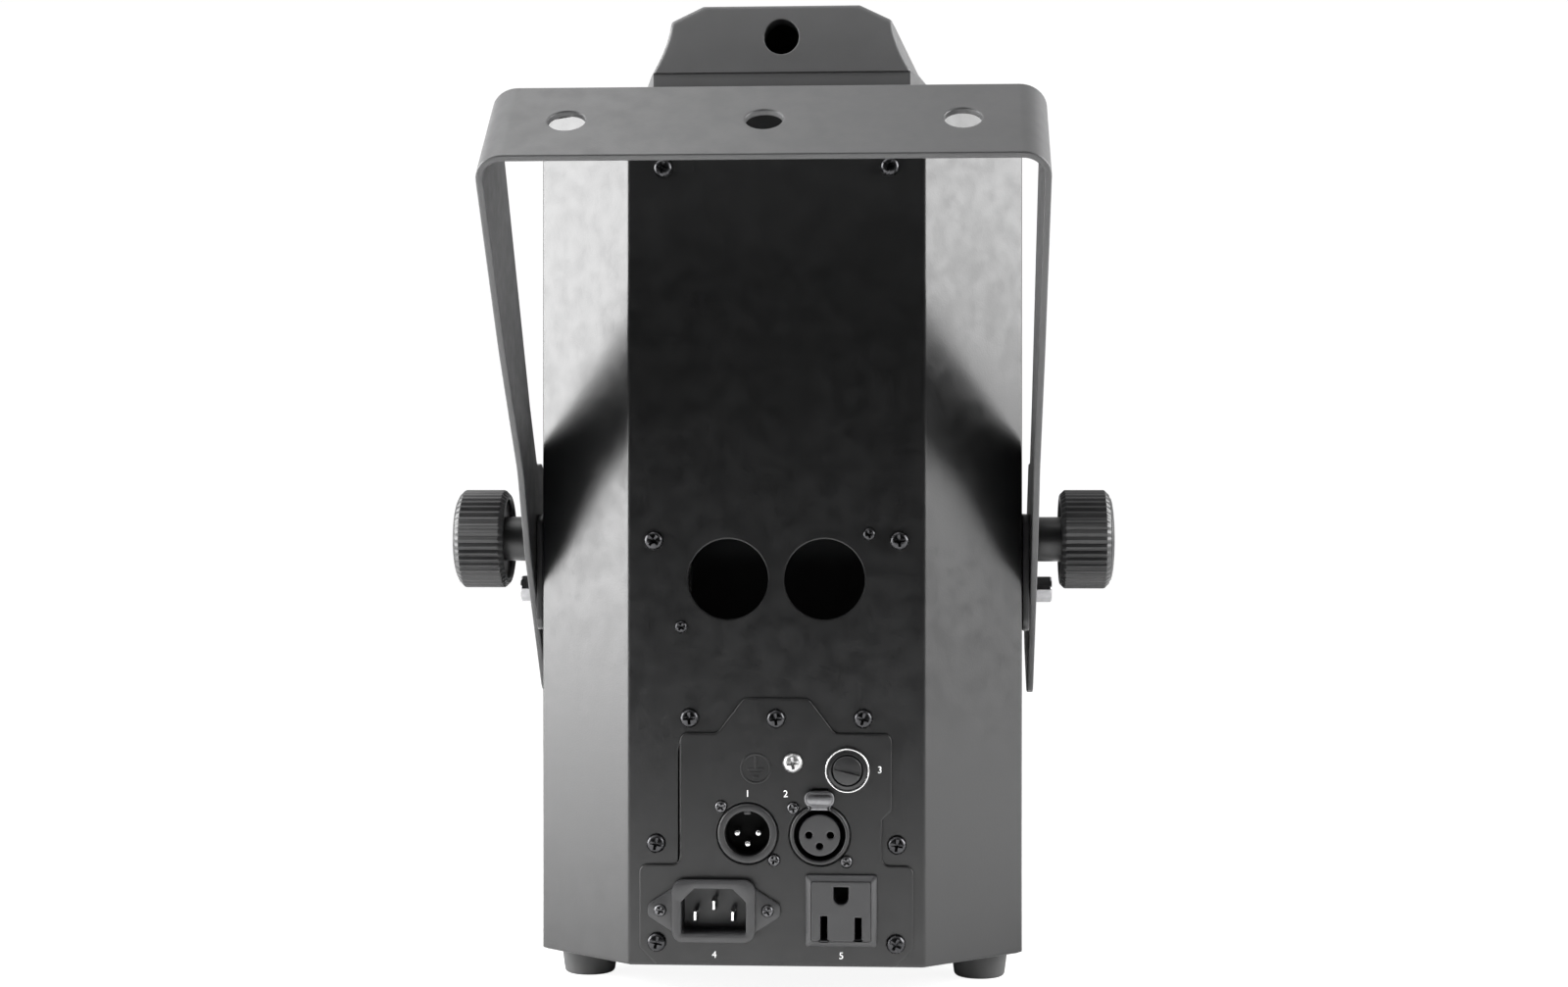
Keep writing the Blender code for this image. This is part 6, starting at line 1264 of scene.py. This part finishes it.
def makeFloor():
    # one wide flat sheet on the ground that ends a little behind the rear, as a paper sweep does;
    # camera rays see it near white, with the shadow kept
    half, rear = stage["floorSize"] / 2, stage["floorRear"]
    mesh = bpy.data.meshes.new("floor")
    corners = [(-half, rear, 0), (half, rear, 0), (half, half, 0), (-half, half, 0)]
    mesh.from_pydata(corners, [], [(0, 1, 2, 3)])
    floor = bpy.data.objects.new("floor", mesh)
    bpy.context.scene.collection.objects.link(floor)
    paper = bpy.data.materials.new("paper")
    tree = cleared(paper)
    matt, dim = (addNode(tree, "BsdfDiffuse") for _ in range(2))
    matt.inputs["Color"].default_value = (stage["floorTone"],) * 3 + (1,)
    dim.inputs["Color"].default_value = (stage["floorTone"] * stage["cameraLit"],) * 3 + (1,)
    glow = addNode(tree, "Emission")
    setInputs(glow, Color=(1, 1, 1, 1), Strength=stage["cameraWhite"])
    both = addNode(tree, "AddShader")
    tree.links.new(dim.outputs[0], both.inputs[0])
    tree.links.new(glow.outputs[0], both.inputs[1])
    mix = mixed(tree, addNode(tree, "LightPath").outputs["Is Camera Ray"], matt, both)
    tree.links.new(mix.outputs[0], addNode(tree, "OutputMaterial").inputs["Surface"])
    mesh.materials.append(paper)


def makeWorld():
    # white for the camera and for what metal and glass show, quieter for plain light, and darker
    # behind the camera's side, as an unlit studio is
    world = bpy.data.worlds.new("studio")
    bpy.context.scene.world = world
    tree = cleared(world)
    rays = addNode(tree, "LightPath")
    place = addNode(tree, "TexCoord")
    split = addNode(tree, "SeparateXYZ")
    tree.links.new(place.outputs["Generated"], split.inputs[0])
    side = addNode(tree, "MapRange", interpolation_type="SMOOTHSTEP")
    setInputs(side, From_Min=studio["glowFrom"], From_Max=studio["glowTo"], To_Min=studio["rearGlow"],
              To_Max=studio["glossGlow"])
    tree.links.new(split.outputs["Y"], side.inputs["Value"])
    glossy, plain, white = (addNode(tree, "Background") for _ in range(3))
    tree.links.new(side.outputs["Result"], glossy.inputs["Strength"])
    setInputs(plain, Strength=studio["ambient"])
    setInputs(white, Strength=studio["backdrop"])
    for node in (glossy, plain, white):
        node.inputs["Color"].default_value = (1, 1, 1, 1)
    either = addNode(tree, "Math", operation="MAXIMUM")
    tree.links.new(rays.outputs["Is Glossy Ray"], either.inputs[0])
    tree.links.new(rays.outputs["Is Transmission Ray"], either.inputs[1])
    lit = mixed(tree, either.outputs[0], plain, glossy)
    mix = mixed(tree, rays.outputs["Is Camera Ray"], lit, white)
    tree.links.new(mix.outputs[0], addNode(tree, "OutputWorld").inputs["Surface"])


def makeLamp(name, at, look, size, power, seen=True):
    # a soft box; one that isn't seen lights things but leaves no reflection of itself
    data = bpy.data.lights.new(name, "AREA")
    data.shape = "RECTANGLE"
    data.size, data.size_y = size
    data.energy = power
    lamp = bpy.data.objects.new(name, data)
    lamp.location = at
    lamp.rotation_euler = (Vector(look) - Vector(at)).to_track_quat("-Z", "Y").to_euler()
    lamp.visible_camera = False
    lamp.visible_glossy = seen
    bpy.context.scene.collection.objects.link(lamp)


view = {"back": 0.99245, "right": 0.0555, "above": 0.01775, "turn": 0.0555, "lens": 58.45}


def makeCamera():
    # level with the photograph's eye line, a little to the right of the middle and turned back to it
    low, high = nodeBox("knob_right")
    axis = (low + high) / 2
    data = bpy.data.cameras.new("camera")
    data.lens = view["lens"]
    data.sensor_width = 36.0
    camera = bpy.data.objects.new("camera", data)
    camera.location = (view["right"], axis[1] - view["back"], axis[2] + view["above"])
    camera.rotation_euler = (math.pi / 2, 0, view["turn"])
    bpy.context.scene.collection.objects.link(camera)
    bpy.context.scene.camera = camera


makeFloor()
makeWorld()
for lampName, values in lamps.items():
    makeLamp(lampName, **values)
makeCamera()
bpy.context.scene.view_settings.view_transform = "Standard"
print("stage, lamps and camera made")
